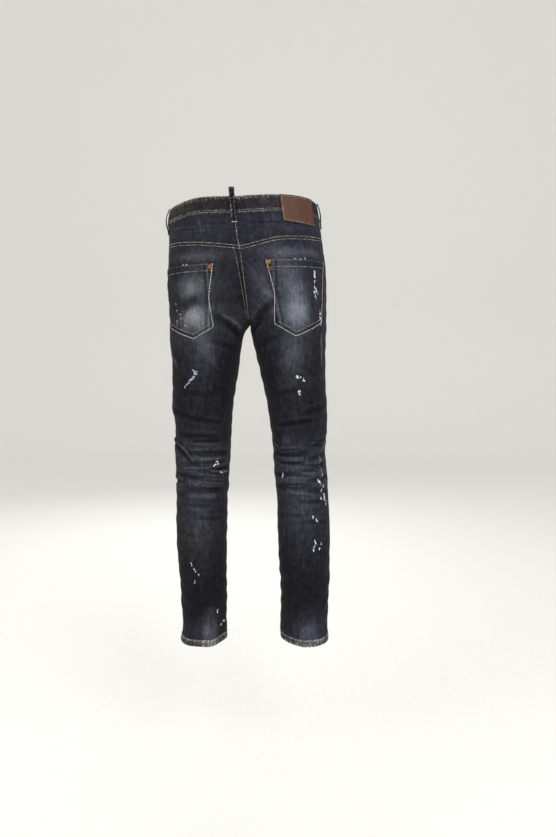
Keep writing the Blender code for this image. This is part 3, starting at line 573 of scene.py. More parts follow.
def seamSpacing(side, angles, heights, above, below=-2.0):
    # along the nearest seam, and away from it, in metres, for the puckers. The side seam pulls less
    sideAway, innerAway = fromSeams(side, angles, heights)
    around = angles * localRadius(side, heights)
    choices = [(heights, np.abs(sideAway) + 0.005), (heights + 0.31, innerAway),
               (around, np.broadcast_to(above - heights, heights.shape)),
               (around + 0.17, np.broadcast_to(heights - below, heights.shape))]
    away = np.stack([choice[1] for choice in choices])
    along = np.stack([choice[0] for choice in choices])
    nearest = np.argmin(away, axis=0)[None]
    return np.stack([np.take_along_axis(x, nearest, 0)[0] for x in (along, away)], axis=-1)


def makeSheet(name, node, side, angles, heights, above, below=-2.0, proud=0.0):
    # above and below: the heights of the seams there
    outer = clothPoint(side, angles, heights, proud)
    inner = clothPoint(side, angles, heights, proud - panel["thick"])
    maps = {"weave": spacing(angles, heights, side), "wear_and_shade": wearAndShadeAt(side, angles, heights),
            "seam": seamSpacing(side, angles, heights, above, below)}
    obj = makeWall(name, outer, inner, [denim, inside], faceUp=facesOut(side, angles), maps=maps)
    placePiece(obj, node)


def placePiece(obj, node=None):
    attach(obj, "root")
    if node:
        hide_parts(node)


def wearAndShadeAt(side, angle, height):
    # 0 unworn to 1 white; also lighter on fold ridges, as rubbed wear, and darker in fold troughs, which is
    # painted shade
    angle, height = evened(angle, height)
    radius = localRadius(side, height)
    total = np.zeros(height.shape)
    for placeSide, degrees, level, halfWidth, halfHeight, lean, strength in wornPlaces:
        if placeSide == side:
            across, up = (angle - math.radians(degrees)) * radius, height - level
            across = across + lean * up
            total += strength * np.exp(-((across / halfWidth) ** 2 + (up / halfHeight) ** 2) * 0.7)
    lines = [row[:6] + (-row[6],) for row in wornLines]
    total += np.clip(foldsAt(side, angle, height, lines), 0, None)
    folds = foldsAt(side, angle, height, mainFolds) * 0.35 + foldsAt(side, angle, height, fineCreases)
    # the last term is partly wear and partly painted light: rubbed ridges are lighter, and the troughs get
    # painted shade
    return total + sectionAt(washed, "level", height) + 0.13 * np.clip(folds / 0.0010, -0.9, 1.0)


# Washed black denim: cotton twill, overdyed and abraded. A dull cloth with a steep diagonal rib, uneven
# warp yarns that show as short upright streaks, clouded dye, and pale worn places

denimFinish = {
    "ribPitch": 0.0015,      # real 0.75 mm, drawn twice as coarse to show
    "ribTurn": math.radians(62),
    "slubWidth": 0.0036, "slubLength": 0.042,
    "grain": 0.0028,         # real yarns 0.5 mm, drawn coarser
    "mottle": 0.012, "cloud": 0.110,
    "puckerPitch": 0.0090, "puckerReach": 0.0130,
    "shares": (0.34, 0.30, 0.42, 0.05, 0.20),  # of slub, grain, mottle, rib and cloud in the wear
    "roughness": (0.78, 0.92),
}


waveRepeat = 0.314  # a Wave texture repeats every 0.314 / Scale


def makeDenim(name, cool, warm, base, rope=0.0):
    # cool and warm: ramps from unworn to white. rope: how white the ridges beside an edge are rubbed
    made, tree, shader = newMaterial(name)
    finish = denimFinish
    weave = addNode(tree, "UVMap", {"uv_map": "weave"})
    place = addNode(tree, "TexCoord")
    seam = addNode(tree, "UVMap", {"uv_map": "seam"})
    wear_and_shade = addNode(tree, "Attribute", {"attribute_name": "wear_and_shade"})
    turned = addNode(tree, "Mapping", inputs={"Rotation": (0, 0, finish["ribTurn"])},
                     links={"Vector": (weave, 0)})
    ribs = {"Scale": waveRepeat / finish["ribPitch"], "Distortion": 1.4, "Detail": 2.0, "Detail Scale": 0.6}
    rib = addNode(tree, "TexWave", inputs=ribs, links={"Vector": (turned, 0)})
    drawn = addNode(tree, "Mapping", links={"Vector": (weave, 0)},
                    inputs={"Scale": (1 / finish["slubWidth"], 1 / finish["slubLength"], 1)})
    slub = addNode(tree, "TexNoise", inputs={"Scale": 1.0, "Detail": 3.0, "Roughness": 0.6},
                   links={"Vector": (drawn, 0)})
    grain = addNode(tree, "TexNoise", inputs={"Scale": 1 / finish["grain"], "Detail": 2.0},
                    links={"Vector": (weave, 0)})
    mottle = addNode(tree, "TexNoise", links={"Vector": (place, "Object")},
                     inputs={"Scale": 1 / finish["mottle"], "Detail": 5.0, "Roughness": 0.68})
    cloud = addNode(tree, "TexNoise", inputs={"Scale": 1 / finish["cloud"], "Detail": 2.0},
                    links={"Vector": (place, "Object")})

    # puckers along the seams: short slanting furrows that fade away from the stitching
    away = addNode(tree, "SeparateXYZ", links={0: (seam, 0)})
    near = addNode(tree, "MapRange", {"interpolation_type": "SMOOTHSTEP"},
                   {1: finish["puckerReach"], 2: 0.0015, 3: 0.0, 4: 1.0}, {0: (away, "Y")})
    slanted = addNode(tree, "Mapping", inputs={"Rotation": (0, 0, math.radians(-24))},
                      links={"Vector": (seam, 0)})
    furrows = {"Scale": waveRepeat / finish["puckerPitch"], "Distortion": 6.0, "Detail": 2.0,
               "Detail Scale": 1.1}
    furrow = addNode(tree, "TexWave", inputs=furrows, links={"Vector": (slanted, 0)})
    uneven = addNode(tree, "MapRange", inputs={1: 0.40, 2: 0.60, 3: 0.0, 4: 1.0}, links={0: (mottle, 0)})
    held = addNode(tree, "Math", {"operation": "MULTIPLY"}, links={0: (near, 0), 1: (uneven, 0)})
    pucker = addNode(tree, "Math", {"operation": "MULTIPLY"}, links={0: (held, 0), 1: (furrow, 1)})
    rim = addNode(tree, "MapRange", {"interpolation_type": "SMOOTHSTEP"}, {1: 0.0030, 2: 0.0, 3: 0.0, 4: 1.0},
                  {0: (away, "Y")})

    # how worn each point is, with painted shade in the fold troughs
    level = (wear_and_shade, "Fac")
    sources = [(slub, 0), (grain, 0), (mottle, 0), (rib, 1), (cloud, 0)]
    parts = list(zip(sources, finish["shares"]))
    parts += [((pucker, 0), 0.55 * rope - 0.14 * (1 - rope)), ((rim, 0), 0.07 + 0.05 * rope)]
    for source, share in parts:
        level = (addNode(tree, "Math", {"operation": "MULTIPLY_ADD"}, {1: share}, {0: source, 2: level}), 0)
    offset = base - 0.5 * sum(finish["shares"]) - 0.10 * rope
    level = (addNode(tree, "Math", {"operation": "ADD", "use_clamp": True}, {1: offset}, {0: level}), 0)
    coolRamp = addNode(tree, "ValToRGB", links={0: level}, stops=cool)
    warmRamp = addNode(tree, "ValToRGB", links={0: level}, stops=warm)
    toSide = addNode(tree, "SeparateXYZ", links={0: (place, "Object")})
    dye = addNode(tree, "Math", {"operation": "MULTIPLY_ADD"}, {1: 2.4, 2: -0.75}, {0: (cloud, 0)})
    dye = addNode(tree, "Math", {"operation": "MULTIPLY_ADD", "use_clamp": True}, {1: 1.6},
                  {0: (toSide, 0), 2: (dye, 0)})
    colour = addNode(tree, "Mix", {"data_type": "RGBA"},
                     links={0: (dye, 0), 6: (coolRamp, 0), 7: (warmRamp, 0)})
    tree.links.new(colour.outputs[2], shader.inputs["Base Color"])

    glossiest, dullest = finish["roughness"]
    rough = addNode(tree, "MapRange", inputs={1: 0.3, 2: 0.7, 3: glossiest, 4: dullest}, links={0: (slub, 0)})
    tree.links.new(rough.outputs[0], shader.inputs["Roughness"])
    heap = addNode(tree, "Math", {"operation": "MULTIPLY_ADD"}, {1: 0.5}, {0: (grain, 0), 2: (rib, 1)})
    heap = addNode(tree, "Math", {"operation": "MULTIPLY_ADD"}, {1: 1.4}, {0: (slub, 0), 2: (heap, 0)})
    fine = addNode(tree, "Bump", inputs={"Strength": 0.5, "Distance": 0.00022}, links={"Height": (heap, 0)})
    raised = addNode(tree, "Math", {"operation": "MULTIPLY"}, {1: 0.5 + 0.5 * rope}, {0: (pucker, 0)})
    soft = addNode(tree, "Math", {"operation": "MULTIPLY_ADD"}, {1: 0.9}, {0: (mottle, 0), 2: (raised, 0)})
    folds = addNode(tree, "Bump", inputs={"Strength": 0.8, "Distance": 0.0009},
                    links={"Height": (soft, 0), "Normal": (fine, 0)})
    tree.links.new(folds.outputs[0], shader.inputs["Normal"])
    shader.inputs["Specular IOR Level"].default_value = 0.07  # washed cotton hardly shines
    shader.inputs["Sheen Weight"].default_value = 0.03
    shader.inputs["Sheen Roughness"].default_value = 0.5
    return made


coolTones = [(0.0, "#0c0c11"), (0.14, "#18181f"), (0.30, "#2b2c36"), (0.50, "#474a56"), (0.75, "#727680"),
             (1.0, "#a2a6b0")]
warmTones = [(0.0, "#0c0c0e"), (0.14, "#19191c"), (0.30, "#2c2c31"), (0.50, "#494a50"), (0.75, "#72757b"),
             (1.0, "#a1a4aa")]
denim = makeDenim("washed_black_denim", coolTones, warmTones, 0.0)
coolEdge = [(0.0, "#0d0c0f"), (0.14, "#171519"), (0.30, "#2b292d"), (0.50, "#4c4a4d"), (0.75, "#7a797c"),
            (1.0, "#a9a9ac")]
warmEdge = [(0.0, "#0d0c0c"), (0.14, "#181615"), (0.30, "#2c2a28"), (0.50, "#4d4b48"), (0.75, "#7b7976"),
            (1.0, "#aba9a5")]
roped = makeDenim("washed_black_denim_edge", coolEdge, warmEdge, 0.02, rope=1.0)
# the weft side: greyer and paler, since the undyed weft yarns lie on top
inside = makeDenim("denim_reverse", [(0.0, "#2a2c31"), (0.5, "#4d5057"), (1.0, "#7b7f86")],
                   [(0.0, "#2c2c2e"), (0.5, "#505153"), (1.0, "#7e8083")], 0.18)

# Vegetable-tanned cowhide, dyed brown and rubbed: satin, with fine pores and darker handling marks
leather, leatherTree, leatherShader = newMaterial("brown_leather")
leatherFinish = {"pore": 0.0011, "mark": 0.014}


def finishLeather(tree, shader):
    place = addNode(tree, "TexCoord")
    pores = addNode(tree, "TexVoronoi", inputs={"Scale": 1 / leatherFinish["pore"], "Randomness": 1.0},
                    links={"Vector": (place, "Object")})
    marks = addNode(tree, "TexNoise", links={"Vector": (place, "Object")},
                    inputs={"Scale": 1 / leatherFinish["mark"], "Detail": 5.0, "Roughness": 0.62})
    seam = addNode(tree, "UVMap", {"uv_map": "seam"})
    away = addNode(tree, "SeparateXYZ", links={0: (seam, 0)})
    rim = addNode(tree, "MapRange", {"interpolation_type": "SMOOTHSTEP"},
                  {1: 0.0040, 2: 0.0004, 3: 0.35, 4: 0.05}, {0: (away, "Y")})
    level = addNode(tree, "Math", {"operation": "MULTIPLY_ADD"}, {1: 0.8}, {0: (marks, 0), 2: (rim, 0)})
    level = addNode(tree, "Math", {"operation": "MULTIPLY_ADD", "use_clamp": True}, {1: 0.18},
                    {0: (pores, 0), 2: (level, 0)})
    colour = addNode(tree, "ValToRGB", links={0: (level, 0)},
                     stops=[(0.50, "#331b0e"), (0.72, "#422313"), (0.86, "#4d2a18"), (1.0, "#5a3621")])
    tree.links.new(colour.outputs[0], shader.inputs["Base Color"])
    rough = addNode(tree, "MapRange", inputs={1: 0.3, 2: 0.7, 3: 0.48, 4: 0.66}, links={0: (marks, 0)})
    tree.links.new(rough.outputs[0], shader.inputs["Roughness"])
    bump = addNode(tree, "Bump", inputs={"Strength": 0.45, "Distance": 0.0002}, links={"Height": (pores, 0)})
    wide = addNode(tree, "Bump", inputs={"Strength": 0.5, "Distance": 0.0004},
                   links={"Height": (marks, 0), "Normal": (bump, 0)})
    tree.links.new(wide.outputs[0], shader.inputs["Normal"])
    shader.inputs["Specular IOR Level"].default_value = 0.35


finishLeather(leatherTree, leatherShader)


# Copper-plated zinc, aged: dull metal, with patchy darker tarnish and fine scuffs
def makeCopper():
    made, tree, shader = newMaterial("antique_copper")
    place = addNode(tree, "TexCoord")
    tarnish = addNode(tree, "TexNoise", inputs={"Scale": 420.0, "Detail": 4.0},
                      links={"Vector": (place, "Object")})
    colour = addNode(tree, "ValToRGB", links={0: (tarnish, 0)},
                     stops=[(0.30, "#2c1f18"), (0.52, "#5c3f2e"), (0.75, "#8a6148")])
    tree.links.new(colour.outputs[0], shader.inputs["Base Color"])
    rough = addNode(tree, "MapRange", inputs={1: 0.3, 2: 0.7, 3: 0.52, 4: 0.30}, links={0: (tarnish, 0)})
    tree.links.new(rough.outputs[0], shader.inputs["Roughness"])
    bump = addNode(tree, "Bump", inputs={"Strength": 0.3, "Distance": 0.0001}, links={"Height": (tarnish, 0)})
    tree.links.new(bump.outputs[0], shader.inputs["Normal"])
    shader.inputs["Metallic"].default_value = 1.0
    return made


# Corespun polyester-cotton sewing thread: a thin two-ply with a soft gloss, greyed by the wash
def makeThread(name, tones, gloss=0.55):
    made, tree, shader = newMaterial(name)
    place = addNode(tree, "TexCoord")
    tone = addNode(tree, "Attribute", {"attribute_name": "tone"})
    soil = addNode(tree, "TexNoise", inputs={"Scale": 260.0, "Detail": 3.0},
                   links={"Vector": (place, "Object")})
    level = addNode(tree, "Math", {"operation": "MULTIPLY_ADD"}, {1: 0.5}, {0: (soil, 0), 2: (tone, "Fac")})
    level = addNode(tree, "Math", {"operation": "ADD", "use_clamp": True}, {1: -0.25}, {0: (level, 0)})
    colour = addNode(tree, "ValToRGB", links={0: (level, 0)}, stops=tones)
    tree.links.new(colour.outputs[0], shader.inputs["Base Color"])
    twist = addNode(tree, "TexWave", inputs={"Scale": waveRepeat / 0.0006, "Distortion": 2.0},
                    links={"Vector": (place, "Object")})  # ply twist, real 0.3 mm, drawn coarser
    bump = addNode(tree, "Bump", inputs={"Strength": 0.3, "Distance": 0.0001}, links={"Height": (twist, 1)})
    tree.links.new(bump.outputs[0], shader.inputs["Normal"])
    shader.inputs["Roughness"].default_value = gloss
    shader.inputs["Specular IOR Level"].default_value = 0.3
    return made


copper = makeCopper()
tanThread = makeThread("tan_grey_thread",
                       [(0.0, "#2f2b28"), (0.35, "#62594f"), (0.65, "#8f8376"), (1.0, "#c4bcb2")])
greyThread = makeThread("washed_grey_thread",
                        [(0.0, "#2d2c2b"), (0.35, "#5e5b59"), (0.65, "#8d8987"), (1.0, "#cfccca")])
rustThread = makeThread("rust_orange_thread", [(0.0, "#54270f"), (0.5, "#964f26"), (1.0, "#c07a45")])
goldThread = makeThread("gold_thread", [(0.0, "#5c451a"), (0.5, "#a8863a"), (1.0, "#dcc68c")])
# Bleached weft: undyed cotton ends left where the blue warp is rubbed through, chalky and matt
bleached = makeThread("bleached_cotton", [(0.0, "#8d929c"), (0.4, "#c3c8d2"), (1.0, "#f2f4f8")], 0.9)


# Panels

panel = {"thick": 0.0012, "columns": 84, "seatRows": 84, "crotchRows": 36, "thighRows": 45, "kneeRows": 72,
         "calfRows": 105}


def spreadRows(outer, inner, share):
    outer, inner = np.array(outer)[:, None], np.array(inner)[:, None]
    return outer + (inner - outer) * share[None, :] ** 1.3


def belowCrotch():
    share = np.linspace(0, 1, panel["crotchRows"] + 1)[1:]
    return form["crotch"] + (form["thighLine"] - form["crotch"]) * share**1.6


def legStations(side):
    foot = form["hemTop"] - sideSign[side] * form["hemTilt"] + form["seamGap"] / 2
    return np.concatenate([
        np.linspace(form["thighLine"], form["kneeTop"], panel["thighRows"] + 1)[1:],
        np.linspace(form["kneeTop"], form["kneeBottom"], panel["kneeRows"] + 1)[1:],
        np.linspace(form["kneeBottom"], foot, panel["calfRows"] + 1)[1:],
    ])


def insetColumns(side, angles, heights):
    angles = angles.copy()
    for edge, beside in ((0, 1), (-1, -2)):
        a, b = angles[:, edge], angles[:, beside]
        length = np.linalg.norm(bareSurface(side, a, heights[:, edge])
                                - bareSurface(side, b, heights[:, beside]), axis=-1)
        angles[:, edge] = a + (b - a) * form["seamGap"] / 2 / length
    return angles


def angleAt(side, start, distance, height, way):
    # the angle at a distance round the leg from start
    angles = start + way * np.linspace(0, math.pi * 0.75, 400)
    return float(np.interp(distance, lengthsAlong(bareSurface(side, angles, height)), angles))


def backGrid(side):
    share = np.linspace(0, 1, panel["columns"] + 1)
    seam = form["sideSeam"]
    down = np.linspace(0, 1, panel["seatRows"] + 1)
    top = float(lineAt(yokeLine, side, math.pi / 2))
    inner = np.concatenate([form["crotch"] + (top - form["crotch"]) * (1 - down) ** 1.5, belowCrotch()])
    outer = np.linspace(float(lineAt(yokeLine, side, seam)), form["thighLine"], len(inner))
    heights = spreadRows(outer, inner, share)
    topAngles = seam + share * (math.pi / 2 - seam)
    fade = np.clip(1 - np.arange(len(inner)) / (0.78 * panel["seatRows"]), 0, 1)[:, None] ** 1.5
    heights += fade * (lineAt(yokeLine, side, topAngles) - heights[0])[None, :]
    heights[0] -= form["seamGap"] / 2
    heights = np.vstack([heights, np.repeat(legStations(side)[:, None], len(share), axis=1)])
    angles = seam + share[None, :] * (innerAngle(side, heights, True) - seam)
    return insetColumns(side, angles, heights), heights


opening = {"width": 0.105, "depth": 0.078, "start": 0.003, "rows": 30, "facingColumns": 30}


def openingCurve(side):
    seam = form["sideSeam"]
    turn = np.linspace(0, math.pi / 2, opening["rows"] + 1)
    across = opening["start"] + (opening["width"] - opening["start"]) * np.sin(turn)
    up = opening["depth"] * (1 - np.cos(turn))
    bottom = float(bandBottom(side, seam)) - opening["depth"]
    angles = np.array([angleAt(side, seam, a, bottom + u, -1) for a, u in zip(across, up)])
    heights = bottom + (bandBottom(side, angles[-1]) - bottom) * up / opening["depth"]
    return angles, heights, np.linspace(bottom, float(bandBottom(side, seam)), opening["rows"] + 1)


def frontGrids(side):
    share = np.linspace(0, 1, panel["columns"] + 1)
    seam = form["sideSeam"]
    openAngles, openHeights, seamHeights = openingCurve(side)
    topInner = float(bandBottom(side, -math.pi / 2))
    openInner = np.linspace(topInner, topInner - 0.062, opening["rows"] + 1)
    openOuter, startAngles = openHeights[::-1], openAngles[::-1]
    down = np.linspace(0, 1, panel["seatRows"] // 2 + 1)[1:]
    seatInner = form["crotch"] + (openInner[-1] - form["crotch"]) * (1 - down) ** 1.7
    lowerInner = np.concatenate([seatInner, belowCrotch()])
    lowerOuter = np.linspace(openOuter[-1], form["thighLine"], len(lowerInner) + 1)[1:]
    starts = np.concatenate([startAngles, np.full(len(lowerInner), seam)])
    heights = spreadRows(np.concatenate([openOuter, lowerOuter]), np.concatenate([openInner, lowerInner]),
                         share)
    ends = -innerAngle(side, heights, False)
    angles = starts[:, None] + share[None, :] * (ends - starts[:, None])
    fade = np.clip(1 - np.arange(len(heights)) / opening["rows"], 0, 1)[:, None] ** 1.5
    heights += fade * (bandBottom(side, angles[0]) - heights[0])[None, :]
    heights[0] -= form["seamGap"] / 2
    leg = np.repeat(legStations(side)[:, None], len(share), axis=1)
    heights = np.vstack([heights, leg])
    starts = np.concatenate([starts, np.full(len(leg), seam)])
    angles = starts[:, None] + share[None, :] * (-innerAngle(side, heights, False) - starts[:, None])

    across = np.linspace(0, 1, opening["facingColumns"] + 1)
    facingAngles = seam + across[None, :] * (startAngles[:, None] - seam)
    rise = openOuter - seamHeights[::-1]
    facingHeights = seamHeights[::-1][:, None] + across[None, :] * rise[:, None]
    facingHeights[0] = bandBottom(side, facingAngles[0]) - form["seamGap"] / 2
    return (insetColumns(side, angles, heights), heights,
            insetColumns(side, facingAngles, facingHeights), facingHeights)


def yokeGrid(side):
    share = np.linspace(0, 1, panel["columns"] + 1)
    seamLine = form["sideSeam"] + share * (math.pi / 2 - form["sideSeam"])
    top = bandBottom(side, seamLine) - form["seamGap"] / 2
    bottom = lineAt(yokeLine, side, seamLine) + form["seamGap"] / 2
    heights = top + (bottom - top) * np.linspace(0, 1, 31)[:, None]
    angles = form["sideSeam"] + share * (innerAngle(side, heights, True) - form["sideSeam"])
    return insetColumns(side, angles, heights), heights


for side in sideSign:
    angles, heights = backGrid(side)
    makeSheet(f"back_panel_{side}", f"back_{side}", side, angles, heights,
              above=lineAt(yokeLine, side, angles))
    angles, heights, facingAngles, facingHeights = frontGrids(side)
    makeSheet(f"front_panel_{side}", f"front_{side}", side, angles, heights,
              above=bandBottom(side, angles))
    makeSheet(f"front_pocket_{side}", f"pocket_facing_{side}", side, facingAngles, facingHeights,
              above=bandBottom(side, facingAngles), proud=-0.0006)
    angles, heights = yokeGrid(side)
    makeSheet(f"yoke_panel_{side}", f"yoke_{side}", side, angles, heights,
              above=bandBottom(side, angles), below=lineAt(yokeLine, side, angles))
print("panels and yokes made")


# Waistband and hems

band = {"proud": 0.0010, "thick": 0.0030, "columns": 300, "rows": 16,
        "underlap": 0.035, "overlap": 0.012, "ramp": 0.024, "lapDepth": 0.0034,
        "lapColumns": 14, "edgeColumns": 7, "rampColumns": 10, "hiddenColumns": 24, "level": -0.04}


def bandPlaces():
    # side, angle and lift of every column, from the underlap round the right side to the overlap
    quarter = math.pi / 2
    places = []
    for distance in np.linspace(band["underlap"], 0.002, band["lapColumns"]):
        places.append(("left", angleAt("left", -quarter, distance, band["level"], 1), -band["lapDepth"]))
    first = band["overlap"] + 0.003
    for distance in np.linspace(0.001, first, band["edgeColumns"]):
        places.append(("right", angleAt("right", -quarter, distance, band["level"], 1), -band["lapDepth"]))
    for share in np.linspace(0, 1, band["rampColumns"])[1:]:
        distance = first + (band["ramp"] - 0.003) * share
        soft = share * share * (3 - 2 * share)
        places.append(("right", angleAt("right", -quarter, distance, band["level"], 1),
                       -band["lapDepth"] * (1 - soft)))
    half = (band["columns"] - len(places)) // 2
    for angle in np.linspace(places[-1][1], quarter, half)[1:]:
        places.append(("right", float(angle), 0.0))
    for angle in np.linspace(quarter, -quarter, half)[1:]:
        places.append(("left", float(angle), 0.0))
    for distance in np.linspace(0.0, band["overlap"], 6)[1:]:
        places.append(("right", angleAt("right", -quarter, distance, band["level"], 1), 0.0))
    return places


def rubbedBand(side, angle):
    # more rubbed at the far left and right of the middle loop
    degrees = math.degrees(angle)
    if side == "left":
        return 0.10 * math.exp(-(((degrees - 35) / 30) ** 2))
    return 0.10 * math.exp(-(((degrees - 72) / 16) ** 2)) + 0.04 * math.exp(-(((degrees + 60) / 40) ** 2))


def makeBand():
    places = bandPlaces()
    down = np.linspace(0, 1, band["rows"] + 1)
    edge = np.minimum(down, 1 - down) * form["bandHeight"]
    roll = 0.0009 * np.exp(-((edge / 0.0022) ** 2))  # the folded edges turn in
    outer, inner, around = [], [], [0.0]
    for side, angle, lift in places:
        top = float(lineAt(waistLine, side, angle))
        heights = top + (float(bandBottom(side, angle)) + form["seamGap"] / 2 - top) * down
        lifts = band["proud"] + lift
        outer.append(clothPoint(side, angle, heights, lifts - roll))
        inner.append(clothPoint(side, angle, heights, lifts - band["thick"] + roll * 0.6))
        if len(outer) > 1:
            around.append(around[-1] + float(np.linalg.norm(outer[-1][8] - outer[-2][8])))
    outer, inner = np.array(outer).transpose(1, 0, 2), np.array(inner).transpose(1, 0, 2)
    around, below = np.array(around)[None, :], (down * form["bandHeight"])[:, None]
    weave = np.stack(np.broadcast_arrays(around, below), axis=-1)
    away = np.where(down > 0.5, edge + 0.0050, edge)  # the top edge is the one that ropes
    beside = np.stack(np.broadcast_arrays(0.0, away[:, None] + 0 * weave[..., 0]), axis=-1)
    seam = weave * np.array([1.0, 0.0]) + beside
    rubbed = [rubbedBand(side, angle) for side, angle, lift in places]
    wear_and_shade = 0.28 + np.array(rubbed)[None, :] + 0.10 * np.exp(-((edge / 0.0060) ** 2))[:, None]
    maps = {"weave": weave, "wear_and_shade": wear_and_shade, "seam": seam}
    obj = makeWall("waistband_strip", outer, inner, [roped, inside], maps=maps, faceUp=False)
    placePiece(obj, "waistband")


def makeHem(side):
    angles = np.linspace(-math.pi, math.pi, 150, endpoint=False)
    rows = np.linspace(0, 1, 13)
    shift = -sideSign[side] * form["hemTilt"]
    heights = form["hemTop"] - form["seamGap"] / 2 + shift + (form["hemBottom"] - form["hemTop"]) * rows
    gridAngles, gridHeights = np.meshgrid(angles, heights)
    edge = np.minimum(rows, 1 - rows)[:, None] * 0.015
    roll = 0.0008 * np.exp(-((edge / 0.0018) ** 2)) + 0 * gridAngles
    outer = clothPoint(side, gridAngles, gridHeights, band["proud"] - roll)
    inner = clothPoint(side, gridAngles, gridHeights, band["proud"] - band["thick"] + roll * 0.6)
    weave = spacing(gridAngles, gridHeights, side)
    seam = np.stack([weave[..., 0], edge + 0 * gridAngles], axis=-1)
    maps = {"weave": weave, "wear_and_shade": 0.16 + wearAndShadeAt(side, gridAngles, gridHeights), "seam": seam}
    obj = makeWall(f"hem_turn_{side}", outer, inner, [roped, inside], ring=True,
                   faceUp=side == "left", maps=maps)
    placePiece(obj, f"hem_{side}")


makeBand()
for side in sideSign:
    makeHem(side)
print("waistband and hems made")


# Back pockets: distances round the seat from 55 mm off the middle, outwards, and heights

pockets = {
    "left": [(-0.0035, -0.1455), (0.0050, -0.2170), (0.0005, -0.2750), (0.0460, -0.3025),
             (0.1190, -0.2765), (0.1460, -0.1470)],
    "right": [(0.0020, -0.1385), (0.0200, -0.2050), (0.0215, -0.2695), (0.0690, -0.2970),
              (0.1400, -0.2660), (0.1525, -0.1330)],
    "gap": 0.0003, "thick": 0.0012, "columns": 66, "rows": 70,
}


def seatSection(side, height):
    # angles round the seat, the distances to them, and the distance of the pocket line
    angles = np.linspace(0, float(innerAngle(side, height, True)), 200)
    section = bareSurface(side, angles, height)
    lengths = lengthsAlong(section)
    return angles, lengths, np.interp(-form["pocketLine"], -sideSign[side] * section[:, 0], lengths)


def seatAngle(side, distance, height):
    # the angle at that distance round the seat from the pocket line
    angles, lengths, line = seatSection(side, height)
    return float(np.interp(line - distance, lengths, angles))


def alongLine(points, shares):
    points = np.array(points, float)
    lengths = lengthsAlong(points)
    at = shares * lengths[-1]
    return np.stack([np.interp(at, lengths, points[:, k]) for k in (0, 1)], axis=-1)


def pocketPlaces(side, u, v):
    # u from the inner to the outer edge, v from the mouth to the foot, both 0 to 1
    topIn, bend, lowIn, tip, lowOut, topOut = [np.array(corner) for corner in pockets[side]]
    shape = np.broadcast(u, v).shape
    u, v = [np.broadcast_to(x, shape).ravel() for x in (u, v)]
    top, foot = alongLine([topIn, topOut], u), alongLine([lowIn, tip, lowOut], u)
    near, far = alongLine([topIn, bend, lowIn], v), alongLine([topOut, lowOut], v)
    u, v = u[:, None], v[:, None]
    flat = (1 - v) * top + v * foot + (1 - u) * near + u * far \
        - ((1 - u) * (1 - v) * topIn + u * (1 - v) * topOut + (1 - u) * v * lowIn + u * v * lowOut)
    return flat.reshape(*shape, 2)


def cornerShare(points):
    points = np.array(points)
    return float(np.linalg.norm(points[1] - points[0])
                 / (np.linalg.norm(points[1] - points[0]) + np.linalg.norm(points[2] - points[1])))


def stationsThrough(share, count):
    # even stations from 0 to 1 with one exactly at share
    first = max(2, round(count * share))
    return np.concatenate([np.linspace(0, share, first + 1), np.linspace(share, 1, count - first + 1)[1:]])


def pocketLift(side, flat):
    # how far the pocket's outer face stands off the seat, doubled at the mouth and the turned edges, and
    # how far its mouth gapes
    corners = [np.array(corner) for corner in pockets[side]]
    away = np.full(flat.shape[:-1], 1.0)
    for start, end in zip(corners[:-1], corners[1:]):  # every edge but the mouth
        edge = (end - start) / np.linalg.norm(end - start)
        beside = (flat[..., 0] - start[0]) * edge[1] - (flat[..., 1] - start[1]) * edge[0]
        away = np.minimum(away, np.abs(beside))
    topIn, topOut = corners[0], corners[-1]
    mouth = topIn[1] + (topOut[1] - topIn[1]) * (flat[..., 0] - topIn[0]) / (topOut[0] - topIn[0])
    down = mouth - flat[..., 1]
    across = np.clip((flat[..., 0] - topIn[0]) / (topOut[0] - topIn[0]), 0, 1)
    hem = 0.0007 * (1 - softStep(down, 0.0150, 0.0165))
    turned = 0.0004 * (1 - softStep(away, 0.0100, 0.0112))
    roll = 0.0008 * np.exp(-((np.minimum(away, down) / 0.0015) ** 2))
    gape = 0.0016 * np.exp(-down / 0.016) * np.sin(np.pi * across) ** 0.7
    return hem + turned - roll, gape, away, down


def pocketAngles(side, flat):
    return np.array([seatAngle(side, d, z) for d, z in flat.reshape(-1, 2)]).reshape(flat.shape[:-1])


def makePocket(side):
    topIn, bend, lowIn, tip, lowOut = pockets[side][:5]
    u, v = np.meshgrid(stationsThrough(cornerShare([lowIn, tip, lowOut]), pockets["columns"]),
                       stationsThrough(cornerShare([topIn, bend, lowIn]), pockets["rows"]))
    flat = pocketPlaces(side, u, v)
    angles, heights = pocketAngles(side, flat), flat[..., 1]
    raised, gape, away, down = pocketLift(side, flat)
    outer = clothPoint(side, angles, heights, pockets["gap"] + pockets["thick"] + gape + raised)
    inner = clothPoint(side, angles, heights, pockets["gap"] + gape * 0.9)
    along = np.where((u < 0.5) ^ (v > 0.9), flat[..., 1], flat[..., 1] + 0.2)
    along = np.where(v > 0.86, flat[..., 0] + 0.4, along)
    seam = np.stack([along, np.minimum(away, down + 0.004)], axis=-1)
    wear_and_shade = wearAndShadeAt(side, angles, heights) + 0.30 * np.exp(-((down / 0.0022) ** 2)) \
        + 0.12 * np.exp(-((away / 0.0018) ** 2)) - 0.10 * np.exp(-(((away - 0.0055) / 0.0026) ** 2))
    maps = {"weave": flat, "wear_and_shade": wear_and_shade, "seam": seam}
    obj = makeWall(f"seat_pocket_{side}", outer, inner, [denim, inside], maps=maps,
                   faceUp=facesOut(side, angles))
    placePiece(obj, f"back_pocket_{side}")


for side in sideSign:
    makePocket(side)
print("pockets made")


# Belt loops

